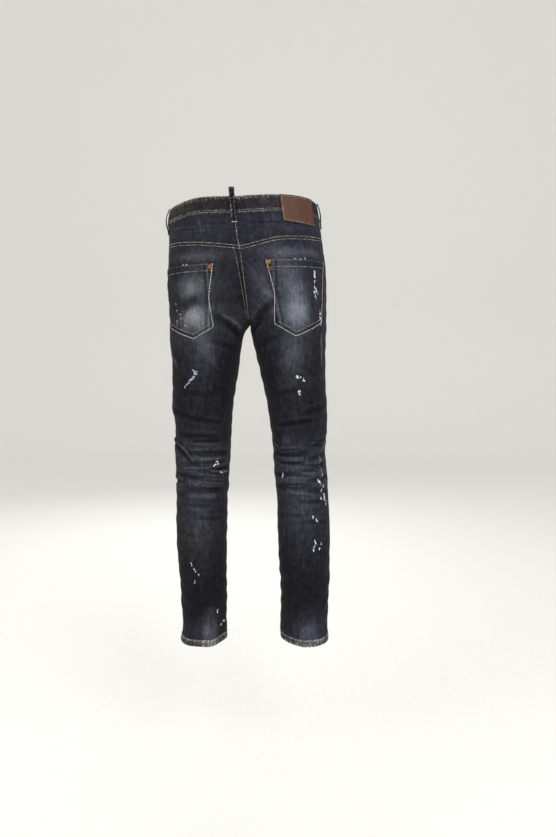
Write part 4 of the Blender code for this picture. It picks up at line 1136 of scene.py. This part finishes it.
loops = {
    "width": 0.012, "thick": 0.0016, "rows": 44, "columns": 8,
    "plain": [(-0.0010, 0.0016), (0.0040, 0.0024), (0.0100, 0.0038), (0.0200, 0.0044), (0.0300, 0.0038),
              (0.0370, 0.0026), (0.0450, 0.0012), (0.0550, 0.0005)],
    "centre": [(-0.0190, 0.0026), (-0.0090, 0.0018), (0.0000, 0.0016), (0.0080, 0.0034), (0.0200, 0.0046),
               (0.0300, 0.0040), (0.0400, 0.0028), (0.0490, 0.0014), (0.0580, 0.0005)],
}


def loopGrid(side, degrees, profile, lift, across, spread=1.0):
    profile = np.array(loops[profile])
    angle = math.radians(degrees)
    below = np.linspace(profile[0, 0], profile[-1, 0], loops["rows"] + 1)
    out = smoothCurve(profile[:, 0], profile[:, 1], below) + lift
    heights = float(lineAt(waistLine, side, angle)) - below
    middle = bareSurface(side, angle, heights)
    normal = surfaceNormal(side, angle, heights)
    along = np.stack([-normal[:, 1], normal[:, 0], 0 * heights], axis=-1)
    along /= np.linalg.norm(along, axis=-1, keepdims=True)
    across = np.asarray(across)[None, :, None] * loops["width"] * spread
    return middle[:, None] + along[:, None] * across + normal[:, None] * out[:, None, None], below


def makeLoop(name, node, side, degrees, profile):
    across = np.linspace(-0.5, 0.5, loops["columns"] + 1)
    outer, below = loopGrid(side, degrees, profile, loops["thick"], across)
    inner, below = loopGrid(side, degrees, profile, 0.0, across)
    soft = (np.abs(across) > 0.49)[None, :, None]
    outer = np.where(soft, outer * 0.7 + inner * 0.3, outer)
    weave = np.stack(np.broadcast_arrays((across * loops["width"])[None, :], below[:, None]), axis=-1)
    away = (0.5 - np.abs(across)) * loops["width"]
    seam = np.stack(np.broadcast_arrays(below[:, None], away[None, :]), axis=-1)
    maps = {"weave": weave, "wear_and_shade": np.full(outer.shape[:2], 0.16 if profile == "centre" else 0.08),
            "seam": seam}
    obj = makeWall(name, outer, inner, [roped, inside], maps=maps, faceUp=True)
    placePiece(obj, node)


loopPlaces = [
    ("loop_centre", "belt_loop_centre", "left", 89.0, "centre"),
    ("loop_side_left", "belt_loop_side_left", "left", 12.0, "plain"),
    ("loop_side_right", "belt_loop_side_right", "right", 6.0, "plain"),
    ("loop_front_left", "belt_loop_front_left", "left", -52.0, "plain"),
    ("loop_front_right", "belt_loop_front_right", "right", -52.0, "plain"),
]
for place in loopPlaces:
    makeLoop(*place)


# Leather patch, left blank

patch = {"inner": (0.0990, 0.0985), "outer": (0.1830, 0.1770), "foot": (-0.0520, -0.0575),
         "thick": 0.0012, "lift": 0.0014, "columns": 60, "rows": 42}


def makePatch():
    share = np.linspace(0, 1, patch["columns"] + 1)
    outer, inner, weave, seam = [], [], [], []
    for down in np.linspace(0, 1, patch["rows"] + 1):
        start, end = [a + (b - a) * down for a, b in (patch["inner"], patch["outer"])]
        distances = np.linspace(start, end, patch["columns"] + 1)
        angles = np.array([angleAt("right", math.pi / 2, d, -0.02, -1) for d in distances])
        top = lineAt(waistLine, "right", angles) - form["seamGap"]
        heights = top + (np.linspace(*patch["foot"], patch["columns"] + 1) - top) * down
        edge = np.minimum(np.minimum(share, 1 - share) * 0.08, min(down, 1 - down) * 0.055)
        roll = 0.0005 * np.exp(-((edge / 0.0012) ** 2)) + 0.0003 * np.exp(-(((edge - 0.0030) / 0.0008) ** 2))
        outer.append(clothPoint("right", angles, heights, patch["lift"] + patch["thick"] - roll))
        inner.append(clothPoint("right", angles, heights, patch["lift"]))
        weave.append(np.stack([distances, heights], axis=-1))
        seam.append(np.stack([distances, edge], axis=-1))
    obj = makeWall("waist_patch", np.array(outer), np.array(inner), [leather],
                   maps={"weave": np.array(weave), "seam": np.array(seam)}, faceUp=True)
    placePiece(obj, "leather_patch")


makePatch()
print("loops and patch made")


# Waist button: a turned cap with a raised rim and a low dome, on a short shank

button = {"radius": 0.0085, "thick": 0.0015, "shank": 0.0030, "reach": 0.0012, "gap": 0.0004, "rim": 0.0016,
          "steps": (0.0012, 0.0016, 0.0020), "rise": (0.0, 0.0005, 0.0002), "well": 0.0005, "bevel": 0.0003,
          "sharp": math.radians(35)}


def selectTop(obj):
    bpy.ops.object.mode_set(mode="OBJECT")
    top = max(p.center.z for p in obj.data.polygons)
    for polygon in obj.data.polygons:
        polygon.select = polygon.center.z > top - 1e-5 and polygon.normal.z > 0.9
    bpy.ops.object.mode_set(mode="EDIT")


def makeButton():
    bpy.ops.object.select_all(action="DESELECT")
    base = button["reach"]
    bpy.ops.mesh.primitive_cylinder_add(vertices=64, radius=button["radius"], depth=button["thick"],
                                        location=(0, 0, base + button["thick"] / 2))
    cap = bpy.context.object
    bpy.ops.object.transform_apply(location=True)
    bpy.ops.object.mode_set(mode="EDIT")
    bpy.ops.mesh.select_mode(type="FACE")
    selectTop(cap)
    bpy.ops.mesh.inset(thickness=button["rim"])
    bpy.ops.transform.translate(value=(0, 0, -button["well"]))
    for step, rise in zip(button["steps"], button["rise"]):
        bpy.ops.mesh.inset(thickness=step)
        bpy.ops.transform.translate(value=(0, 0, rise))
    bpy.ops.object.mode_set(mode="OBJECT")
    bevel = cap.modifiers.new("soft edges", "BEVEL")
    bevel.width = button["bevel"]
    bevel.segments = 3
    bevel.limit_method = "ANGLE"
    bevel.angle_limit = button["sharp"]
    bpy.ops.object.modifier_apply(modifier=bevel.name)
    bpy.ops.mesh.primitive_cylinder_add(vertices=40, radius=button["shank"], depth=base + 0.0004,
                                        location=(0, 0, (base + 0.0004) / 2))
    cap.select_set(True)
    bpy.context.view_layer.objects.active = cap
    bpy.ops.object.join()
    cap.name = cap.data.name = "turned_button"
    bpy.ops.object.shade_smooth_by_angle(angle=button["sharp"])
    middle = (float(lineAt(waistLine, "left", -math.pi / 2)) + float(bandBottom("left", -math.pi / 2))) / 2
    seat = clothPoint("left", -math.pi / 2, middle, band["proud"] + button["gap"])
    cap.rotation_euler = (math.radians(90), 0, 0)
    cap.location = seat
    bpy.ops.object.transform_apply(location=True, rotation=True)
    cap.data.materials.append(copper)
    placePiece(cap, "waist_button")


makeButton()
print("button made")


# Stitching: one slim stitch is modelled and copied along every seam

thread = {"pitch": 0.0032, "length": 0.0029, "width": 0.00130, "height": 0.00080, "sink": 0.00010,
          "straySide": 0.00014, "strayTone": 0.16}


def stitchShape():
    bpy.ops.object.select_all(action="DESELECT")
    bpy.ops.mesh.primitive_uv_sphere_add(segments=6, ring_count=5, radius=0.5)
    shape = bpy.context.object
    points = np.array([v.co for v in shape.data.vertices])
    faces = [tuple(p.vertices) for p in shape.data.polygons]
    bpy.data.objects.remove(shape)
    return points, faces


stitchPoints, stitchFaces = stitchShape()


def onCloth(side, angles, heights, lift=0.0):
    angles, heights = np.broadcast_arrays(np.asarray(angles, float), np.asarray(heights, float))
    return clothPoint(side, angles, heights, lift), surfaceNormal(side, angles, heights)


def sewAlong(path, tone=0.5, pitch=None, length=None, across=False, width=None, gaps=0.0):
    # path: (points, normals). Rows of centre, axis, normal, length, width, tone.
    # across: stitches lie over the path
    points, normals = path
    lengths = lengthsAlong(points)
    pitch = pitch or thread["pitch"]
    count = max(1, int(lengths[-1] / pitch))
    at = (np.arange(count) + 0.5) * lengths[-1] / count
    centre = np.stack([np.interp(at, lengths, points[:, k]) for k in range(3)], axis=-1)
    ahead = np.stack([np.interp(at + 0.0008, lengths, points[:, k]) for k in range(3)], axis=-1)
    behind = np.stack([np.interp(at - 0.0008, lengths, points[:, k]) for k in range(3)], axis=-1)
    normal = np.stack([np.interp(at, lengths, normals[:, k]) for k in range(3)], axis=-1)
    axis = (ahead - behind) / np.linalg.norm(ahead - behind, axis=1, keepdims=True)
    sideways = np.cross(normal, axis)
    centre = centre + sideways * chance.normal(0, thread["straySide"], (count, 1))
    if across:
        axis = sideways
    rows = []
    for k in range(count):
        if chance.random() < gaps:
            continue
        shade = tone + chance.normal(0, thread["strayTone"])
        rows.append((centre[k], axis[k], normal[k], length or thread["length"], width or thread["width"],
                     shade))
    return rows


def makeStitches(name, rows, material):
    centre, axis, normal = [np.array([row[k] for row in rows]) for k in range(3)]
    length, width, tone = [np.array([row[k] for row in rows]) for k in (3, 4, 5)]
    axis /= np.linalg.norm(axis, axis=1, keepdims=True)
    sideways = np.cross(normal, axis)
    sideways /= np.linalg.norm(sideways, axis=1, keepdims=True)
    up = np.cross(axis, sideways)
    high = width * thread["height"] / thread["width"]
    centre = centre + up * (high / 2 - thread["sink"])[:, None] * 0.6
    points = centre[:, None] + stitchPoints[None, :, 2:3] * (axis * length[:, None])[:, None] \
        + stitchPoints[None, :, 0:1] * (sideways * width[:, None])[:, None] \
        + stitchPoints[None, :, 1:2] * (up * high[:, None])[:, None]
    count = len(stitchPoints)
    faces = [[i + k * count for i in face] for k in range(len(rows)) for face in stitchFaces]
    obj = newObject(name, points.reshape(-1, 3).tolist(), faces)
    attribute = obj.data.attributes.new("tone", "FLOAT", "POINT")
    attribute.data.foreach_set("value", np.repeat(tone, count).astype(np.float32))
    obj.data.materials.append(material)
    placePiece(obj)


def innerLine(side, offset, heights, back=True):
    # angles at a distance from the centre seam or the inseam
    sign = 1 if back else -1
    return sign * (innerAngle(side, heights, back) - offset / localRadius(side, heights))


def pocketPath(side, points, lift=0.0):
    flat = alongLine(points, np.linspace(0, 1, 80))
    raised, gape = pocketLift(side, flat)[:2]
    return onCloth(side, pocketAngles(side, flat), flat[:, 1],
                   pockets["gap"] + pockets["thick"] + np.maximum(raised, 0) + gape + lift)


def insetCorners(points, offset):
    # an open line moved sideways, to the left of its way, with its corners kept
    points = np.array(points, float)
    moved = []
    for k in range(len(points)):
        sides = []
        for a, b in ((k - 1, k), (k, k + 1)):
            if a >= 0 and b < len(points):
                way = (points[b] - points[a]) / np.linalg.norm(points[b] - points[a])
                sides.append(np.array([-way[1], way[0]]))
        middle = sum(sides) / len(sides)
        length = (middle @ middle) ** 0.5
        moved.append(points[k] + middle * offset / length / max(0.3, length))
    return moved


rowPlaces = {  # how far a row of stitches lies from its seam or edge, and its tone
    "yoke": ((0.0014, 0.70), (0.0076, 0.66)), "inseam": ((0.0016, 0.34), (0.0076, 0.30)),
    "hem": (0.0020, 0.60), "pocketEdge": (0.0016, 0.92), "pocketFoot": (0.0100, 0.62),
    "pocketMouth": (0.0150, 0.56), "opening": ((0.0016, 0.55), (0.0076, 0.55)),
    "band": ((0.0026, 0.36, 0.25), (0.0305, 0.50, 0.22), (0.0348, 0.46, 0.02)),  # with the share of gaps
}
seatRows, waistRows, pocketRows, legRows, frontRows, loopRows = [], [], [], [], [], []
for side in sideSign:
    angles = np.linspace(form["sideSeam"] * 1.02, math.pi / 2, 200)
    for offset, tone in rowPlaces["yoke"]:
        heights = lineAt(yokeLine, side, angles) - offset
        inner = innerAngle(side, heights, True)
        turned = form["sideSeam"] * 1.03 + (inner - form["sideSeam"] * 1.03) * np.linspace(0, 0.998, 200)
        heights = lineAt(yokeLine, side, np.minimum(turned, math.pi / 2)) - offset
        seatRows += sewAlong(onCloth(side, turned, heights), tone)
    foot = form["hemTop"] + 0.004
    heights = np.linspace(form["crotch"] - 0.006, foot, 400)
    for offset, tone in rowPlaces["inseam"]:
        legRows += sewAlong(onCloth(side, innerLine(side, offset, heights), heights), tone)
    # hem, below its upper edge
    angles = np.linspace(-math.pi, math.pi, 400)
    offset, tone = rowPlaces["hem"]
    height = form["hemTop"] - sideSign[side] * form["hemTilt"] - offset
    legRows += sewAlong(onCloth(side, angles, np.full(400, height), band["proud"]), tone)
    # pockets: the edge, the inner chevron and the mouth's hem
    # insets run to the left of the way, which is inside the pocket
    offset, tone = rowPlaces["pocketEdge"]
    pocketRows += sewAlong(pocketPath(side, insetCorners(pockets[side], offset)), tone, width=0.0016)
    offset, tone = rowPlaces["pocketFoot"]
    pocketRows += sewAlong(pocketPath(side, insetCorners(pockets[side], offset)[2:5]), tone)
    topIn, topOut = np.array(pockets[side][0]), np.array(pockets[side][-1])
    offset, tone = rowPlaces["pocketMouth"]
    along, across = topOut - topIn, np.array([0.0, -offset])
    mouthIn, mouthOut = topIn + across + along * 0.012, topOut + across - along * 0.012
    pocketRows += sewAlong(pocketPath(side, [mouthIn, mouthOut]), tone)
    # front pocket opening
    bottom = float(bandBottom(side, form["sideSeam"]))
    for offset, tone in rowPlaces["opening"]:
        turn = np.linspace(0.06, math.pi / 2 - 0.02, 120)
        away = (opening["width"] + offset) * np.sin(turn)
        high = bottom - (opening["depth"] + offset) * np.cos(turn)
        angles = np.array([angleAt(side, form["sideSeam"], a, h, -1) for a, h in zip(away, high)])
        high = high + (bandBottom(side, angles) - bottom) * np.sin(turn) ** 2
        frontRows += sewAlong(onCloth(side, angles, high), tone)

# centre back, on the left half: two lines down to the crotch
for offset, tone, top in ((0.0012, 0.62, bandBottom("left", math.pi / 2) - 0.020), (0.0074, 0.46, -0.108)):
    heights = np.linspace(float(top), form["crotch"] + 0.010, 260)
    seatRows += sewAlong(onCloth("left", innerLine("left", offset, heights), heights), tone)

# fly: two lines down the left front, turning in at the foot
fly = {"lines": (0.037, 0.043), "foot": -0.160, "end": 0.004, "points": 80, "tone": 0.55}
for offset in fly["lines"]:
    straight = np.linspace(float(bandBottom("left", -math.pi / 2)) - 0.001, fly["foot"], fly["points"])
    turn = np.linspace(0, math.pi / 2, 60)[1:]
    away = np.concatenate([np.full(fly["points"], offset), fly["end"] + (offset - fly["end"]) * np.cos(turn)])
    high = np.concatenate([straight, fly["foot"] - (offset * 1.05) * np.sin(turn)])
    angles = np.array([angleAt("left", -float(innerAngle("left", h, False)), a, h, 1)
                       for a, h in zip(away, high)])
    frontRows += sewAlong(onCloth("left", angles, high), fly["tone"])

# waistband: one line under the top edge, two above the lower edge
for below, tone, gaps in rowPlaces["band"]:
    points, normals = [], []
    for side, angle, lift in bandPlaces()[band["hiddenColumns"]:]:
        height = float(lineAt(waistLine, side, angle)) - below
        point, normal = onCloth(side, angle, height, band["proud"] + lift)
        points.append(point)
        normals.append(normal)
    waistRows += sewAlong((np.array(points), np.array(normals)), tone, gaps=gaps)

# loops: a row beside each edge, and a bar tack over each end
for name, node, side, degrees, profile in loopPlaces:
    for across in (-0.33, 0.33):
        points, below = loopGrid(side, degrees, profile, loops["thick"] + 0.0001, [across])
        normal = surfaceNormal(side, math.radians(degrees), float(lineAt(waistLine, side, 0.0)) - below)
        loopRows += sewAlong((points[:, 0], normal), 0.34 if profile == "centre" else 0.08, gaps=0.25)
    points, below = loopGrid(side, degrees, profile, loops["thick"] + 0.0002, np.linspace(-0.48, 0.48, 12))
    for row, tone in ((-2, 0.62 if profile == "centre" else 0.20), (2, 0.10)):
        normal = np.repeat(surfaceNormal(side, math.radians(degrees), -0.05)[None], 12, axis=0)
        loopRows += sewAlong((points[row], normal), tone, pitch=0.00085, length=0.0026, across=True)


def patchPoint(across, down, lift=0.0):
    # a point of the patch's outer face, both from 0 to 1
    start, end = [a + (b - a) * down for a, b in (patch["inner"], patch["outer"])]
    angle = angleAt("right", math.pi / 2, start + (end - start) * across, -0.02, -1)
    top = float(lineAt(waistLine, "right", angle)) - form["seamGap"]
    height = top + (patch["foot"][0] + (patch["foot"][1] - patch["foot"][0]) * across - top) * down
    return onCloth("right", angle, height, patch["lift"] + patch["thick"] + lift)


patchRows = []
corners = [(0.97, 0.055), (0.035, 0.055), (0.035, 0.945), (0.97, 0.945)]
for start, end in zip(corners, corners[1:]):
    pairs = [patchPoint(start[0] + (end[0] - start[0]) * t, start[1] + (end[1] - start[1]) * t)
             for t in np.linspace(0, 1, 60)]
    patchRows += sewAlong((np.array([p[0] for p in pairs]), np.array([p[1] for p in pairs])), 0.62)

sewn = {"seat": (seatRows, tanThread), "waist": (waistRows, greyThread), "pockets": (pocketRows, greyThread),
        "legs": (legRows, greyThread), "front": (frontRows, tanThread), "loops": (loopRows, greyThread),
        "patch": (patchRows, tanThread)}
for part, (partRows, colour) in sewn.items():
    makeStitches(f"stitching_{part}", partRows, colour)


# Pocket corner tacks: a round rust-orange one on the left, and a gold cross over a rust bar on the right

tacks = {"round": 0.0058, "cross": 0.0062, "thick": 0.0011}


def tackRows(side, centre, lines, tone):
    rows = []
    for start, end, lift in lines:
        path = pocketPath(side, [np.array(centre) + start, np.array(centre) + end], lift)
        reach = float(np.linalg.norm(np.array(end) - np.array(start)))
        rows += sewAlong(path, tone, pitch=reach, length=reach * 1.05, width=tacks["thick"])
    return rows


def roundTack(radius, count):
    lines = []
    for k in range(count):
        turn = 2.4 * k
        way = np.array([math.cos(turn), math.sin(turn)]) * radius * (0.90 + 0.10 * math.sin(3.1 * k))
        lines.append((-way, way, 0.0001 + 0.00004 * k))
    return lines


leftTack = tackRows("left", (0.0035, -0.1525), roundTack(tacks["round"], 26), 0.45)
makeStitches("tack_left", leftTack, rustThread)
arm = tacks["cross"]
crossLines = [((-arm, arm * 0.8), (arm, -arm * 0.8), 0.0006), ((-arm, -arm * 0.5), (arm, arm * 0.7), 0.0009),
              ((-arm * 0.8, arm), (arm * 0.9, -arm * 0.4), 0.0008), ((-arm, 0.001), (arm, 0.002), 0.0004),
              ((-0.001, -arm), (0.002, arm), 0.0005)]
crossLines = [(np.array(a), np.array(b), lift) for a, b, lift in crossLines]
makeStitches("tack_right", tackRows("right", (0.0085, -0.1435), crossLines, 0.55), goldThread)
barLines = [(np.array([-0.004 + 0.0012 * k, -0.0045]), np.array([-0.0025 + 0.0012 * k, 0.0045]), 0.0003)
            for k in range(7)]
makeStitches("tack_bar_right", tackRows("right", (0.0110, -0.1570), barLines, 0.2), rustThread)
print("stitching made")


# White rubbed marks: short bleached yarns lying where the surface is worn through.
# side, degrees, height, length, breadth, lean in degrees from upright, whiteness

rubbedMarks = [
    ("left", 48.5, -0.1445, 0.0045, 0.0035, 90, 0.75), ("left", 51.8, -0.1452, 0.0050, 0.0040, 60, 0.75),
    ("left", 45.0, -0.2262, 0.0030, 0.0015, 20, 0.30), ("left", 48.0, -0.2405, 0.0046, 0.0015, 25, 0.42),
    ("left", 55.5, -0.2492, 0.0026, 0.0014, 25, 0.22), ("left", 58.5, -0.2570, 0.0044, 0.0014, 30, 0.36),
    ("left", 67.5, -0.2725, 0.0030, 0.0014, 50, 0.30), ("left", 51.8, -0.2648, 0.0083, 0.0018, -10, 0.40),
    ("left", 85.0, -0.3766, 0.0110, 0.0070, 30, 0.44), ("left", 80.7, -0.3867, 0.0090, 0.0060, -50, 0.44),
    ("left", 77.4, -0.3903, 0.0120, 0.0040, -55, 0.44), ("left", 72.0, -0.3990, 0.0120, 0.0034, -50, 0.44),
    ("left", 66.6, -0.4068, 0.0060, 0.0028, -50, 0.44), ("left", 80.7, -0.3694, 0.0050, 0.0026, 40, 0.66),
    ("left", 131.4, -0.5741, 0.0120, 0.0060, 10, 0.85), ("left", 123.9, -0.5784, 0.0090, 0.0050, -55, 0.85),
    ("left", 140.1, -0.5979, 0.0070, 0.0036, 80, 0.85), ("left", 76.4, -0.7968, 0.0070, 0.0026, 10, 0.66),
    ("left", 82.8, -0.8091, 0.0090, 0.0026, 35, 0.66), ("left", 90.4, -0.8177, 0.0050, 0.0026, 20, 0.66),
    ("left", 80.7, -0.8343, 0.0060, 0.0026, 0, 0.66), ("left", 133.6, -0.9043, 0.0080, 0.0044, 0, 0.66),
    ("left", 159.5, -0.9352, 0.0070, 0.0040, 70, 0.66), ("left", 149.8, -0.9410, 0.0060, 0.0040, -20, 0.66),
    ("right", 55.3, -0.1358, 0.0060, 0.0044, 40, 0.85), ("right", 50.3, -0.1351, 0.0050, 0.0040, 60, 0.85),
    ("right", 45.4, -0.1344, 0.0060, 0.0044, 40, 0.85), ("right", 37.9, -0.1589, 0.0100, 0.0055, 0, 0.85),
    ("right", 38.2, -0.1700, 0.0110, 0.0050, 5, 0.85), ("right", 39.4, -0.1790, 0.0080, 0.0030, -15, 0.85),
    ("right", 41.0, -0.1935, 0.0110, 0.0044, 25, 0.85), ("right", 39.0, -0.2007, 0.0120, 0.0044, 30, 0.85),
    ("right", 42.5, -0.2030, 0.0080, 0.0036, 20, 0.85), ("right", 41.6, -0.2129, 0.0090, 0.0034, 20, 0.85),
    ("right", 36.1, -0.2461, 0.0100, 0.0050, -10, 0.85), ("right", 35.2, -0.2576, 0.0110, 0.0050, 60, 0.85),
    ("right", 36.4, -0.2677, 0.0140, 0.0046, 60, 0.85), ("right", 33.0, -0.2630, 0.0090, 0.0036, 20, 0.85),
    ("right", 82.8, -0.3838, 0.0090, 0.0055, 20, 0.85), ("right", 73.1, -0.3903, 0.0080, 0.0050, 10, 0.85),
    ("right", 82.8, -0.4177, 0.0090, 0.0060, 0, 0.85), ("right", 78.0, -0.3850, 0.0040, 0.0030, 30, 0.85),
    ("right", 132.5, -0.6015, 0.0120, 0.0044, 5, 0.85), ("right", 35.3, -0.6029, 0.0070, 0.0030, 20, 0.70),
    ("right", 48.3, -0.6152, 0.0110, 0.0060, 30, 0.85), ("right", 36.4, -0.6260, 0.0080, 0.0030, -30, 0.70),
    ("right", 36.4, -0.6447, 0.0100, 0.0040, 20, 0.70), ("right", 47.2, -0.6512, 0.0070, 0.0050, 30, 0.85),
    ("right", 35.0, -0.6540, 0.0130, 0.0040, -20, 0.70), ("right", 30.0, -0.6660, 0.0110, 0.0034, -15, 0.70),
    ("right", 42.0, -0.6350, 0.0070, 0.0030, -30, 0.70), ("right", 69.9, -0.6887, 0.0070, 0.0046, 0, 0.85),
    ("right", 61.2, -0.6974, 0.0080, 0.0036, 40, 0.85), ("right", 65.6, -0.7457, 0.0090, 0.0036, 20, 0.85),
    ("right", 67.7, -0.7536, 0.0070, 0.0030, 0, 0.85), ("right", 69.9, -0.7615, 0.0070, 0.0034, 30, 0.85),
    ("right", 54.8, -0.7594, 0.0100, 0.0034, 10, 0.85), ("right", 50.5, -0.7500, 0.0060, 0.0030, 10, 0.85),
    ("right", 67.0, -0.7400, 0.0050, 0.0030, 0, 0.85),
]


def pocketCover(side, angle, height):
    # extra lift where a mark lies on a pocket
    angles, lengths, line = seatSection(side, height)
    flat = np.array([line - np.interp(angle, angles, lengths), height])
    corners = np.array(pockets[side])
    inside = False
    for a, b in zip(corners, np.roll(corners, -1, axis=0)):
        if (a[1] > flat[1]) != (b[1] > flat[1]):
            if flat[0] < a[0] + (b[0] - a[0]) * (flat[1] - a[1]) / (b[1] - a[1]):
                inside = not inside
    if not inside:
        return 0.0
    raised, gape = pocketLift(side, flat)[:2]
    return pockets["gap"] + pockets["thick"] + max(float(raised), 0.0) + float(gape)


yarns = {  # the short yarns of each mark
    "area": 3.6e-6, "fewest": 3, "most": 22, "spread": 0.27, "strayTurn": 0.5, "tip": 0.001, "sink": 0.0001,
    "length": (0.0018, 0.0042), "width": (0.0008, 0.0016), "strayTone": 0.22, "pocketFoot": -0.31,
}


def makeMarks():
    rows = []
    for side, degrees, height, length, breadth, lean, whiteness in rubbedMarks:
        count = int(np.clip(length * breadth / yarns["area"], yarns["fewest"], yarns["most"]))
        middle, lean = math.radians(degrees), math.radians(lean)
        radius = float(localRadius(side, height))
        along = chance.normal(0, length * yarns["spread"], count)
        aside = chance.normal(0, breadth * yarns["spread"], count)
        angles = middle - (along * math.sin(lean) * sideSign[side] + aside * math.cos(lean)) / radius
        levels = height + along * math.cos(lean) - aside * math.sin(lean) * sideSign[side]
        lift = pocketCover(side, middle, height) if height > yarns["pocketFoot"] else 0.0
        points, normals = onCloth(side, angles, levels, lift)
        turn = lean + chance.normal(0, yarns["strayTurn"], count)
        tips = onCloth(side, angles - yarns["tip"] * np.sin(turn) * sideSign[side] / radius,
                       levels + yarns["tip"] * np.cos(turn), lift)[0]
        for point, tip, normal in zip(points, tips, normals):
            axis = (tip - point) / np.linalg.norm(tip - point)
            rows.append((point - normal * yarns["sink"], axis, normal, chance.uniform(*yarns["length"]),
                         chance.uniform(*yarns["width"]), whiteness + chance.normal(0, yarns["strayTone"])))
    makeStitches("rubbed_marks", rows, bleached)


makeMarks()
print("rubbed marks made")


# Stage

stage = {"floorZ": -1.26, "halfWidth": 7.0, "near": 6.0, "far": -4.6, "curve": 1.6, "top": 7.0}


def makeStage():
    # a painted floor that curves up into a wall about 6 m past the object
    turn = np.linspace(0, math.pi / 2, 25)
    wall = stage["far"] - stage["curve"]
    run = [stage["near"]] + list(stage["far"] - stage["curve"] * np.sin(turn)) + [wall]
    rise = [0.0] + list(stage["curve"] * (1 - np.cos(turn))) + [stage["top"]]
    points, faces = [], []
    for y, z in zip(run, rise):
        points += [(x, y, stage["floorZ"] + z) for x in (-stage["halfWidth"], stage["halfWidth"])]
    for k in range(len(run) - 1):
        faces.append((2 * k, 2 * k + 2, 2 * k + 3, 2 * k + 1))
    floor = newObject("studio_cove", points, faces)
    floor.data.flip_normals()
    made, tree, shader = newMaterial("matt_floor_paint")  # even and chalky, with a faint roller texture
    place = addNode(tree, "TexCoord")
    roller = addNode(tree, "TexNoise", inputs={"Scale": 160.0, "Detail": 3.0},
                     links={"Vector": (place, "Object")})
    colour = addNode(tree, "ValToRGB", links={0: (roller, 0)}, stops=[(0.3, "#eeedea"), (0.7, "#f3f2ef")])
    tree.links.new(colour.outputs[0], shader.inputs["Base Color"])
    shader.inputs["Roughness"].default_value = 0.95
    shader.inputs["Specular IOR Level"].default_value = 0.1
    floor.data.materials.append(made)
    world = bpy.data.worlds.new("studio")
    world.use_nodes = True
    world.node_tree.nodes["Background"].inputs["Color"].default_value = fromHex("#e4e4e1")
    world.node_tree.nodes["Background"].inputs["Strength"].default_value = 1.0
    bpy.context.scene.world = world
    bpy.context.scene.view_settings.view_transform = "Standard"


def addLight(name, place, aim, size, power):
    data = bpy.data.lights.new(name, "AREA")
    data.shape = "RECTANGLE"
    data.size, data.size_y = size
    data.energy = power
    light = bpy.data.objects.new(name, data)
    light.location = place
    light.rotation_euler = (Vector(aim) - Vector(place)).to_track_quat("-Z", "Y").to_euler()
    bpy.context.collection.objects.link(light)


makeStage()
lights = {  # place, aim, size and power
    "key": ((-1.4, 2.0, 0.9), (0, 0, -0.45), (1.4, 1.8), 34),
    "fill": ((1.8, 1.6, 0.3), (0, 0, -0.5), (1.4, 1.8), 16),
    "front_fill": ((0.6, -2.2, 0.8), (0, 0, -0.5), (1.6, 1.8), 24),
}
for name, settings in lights.items():
    addLight(name, *settings)
print("stage made")
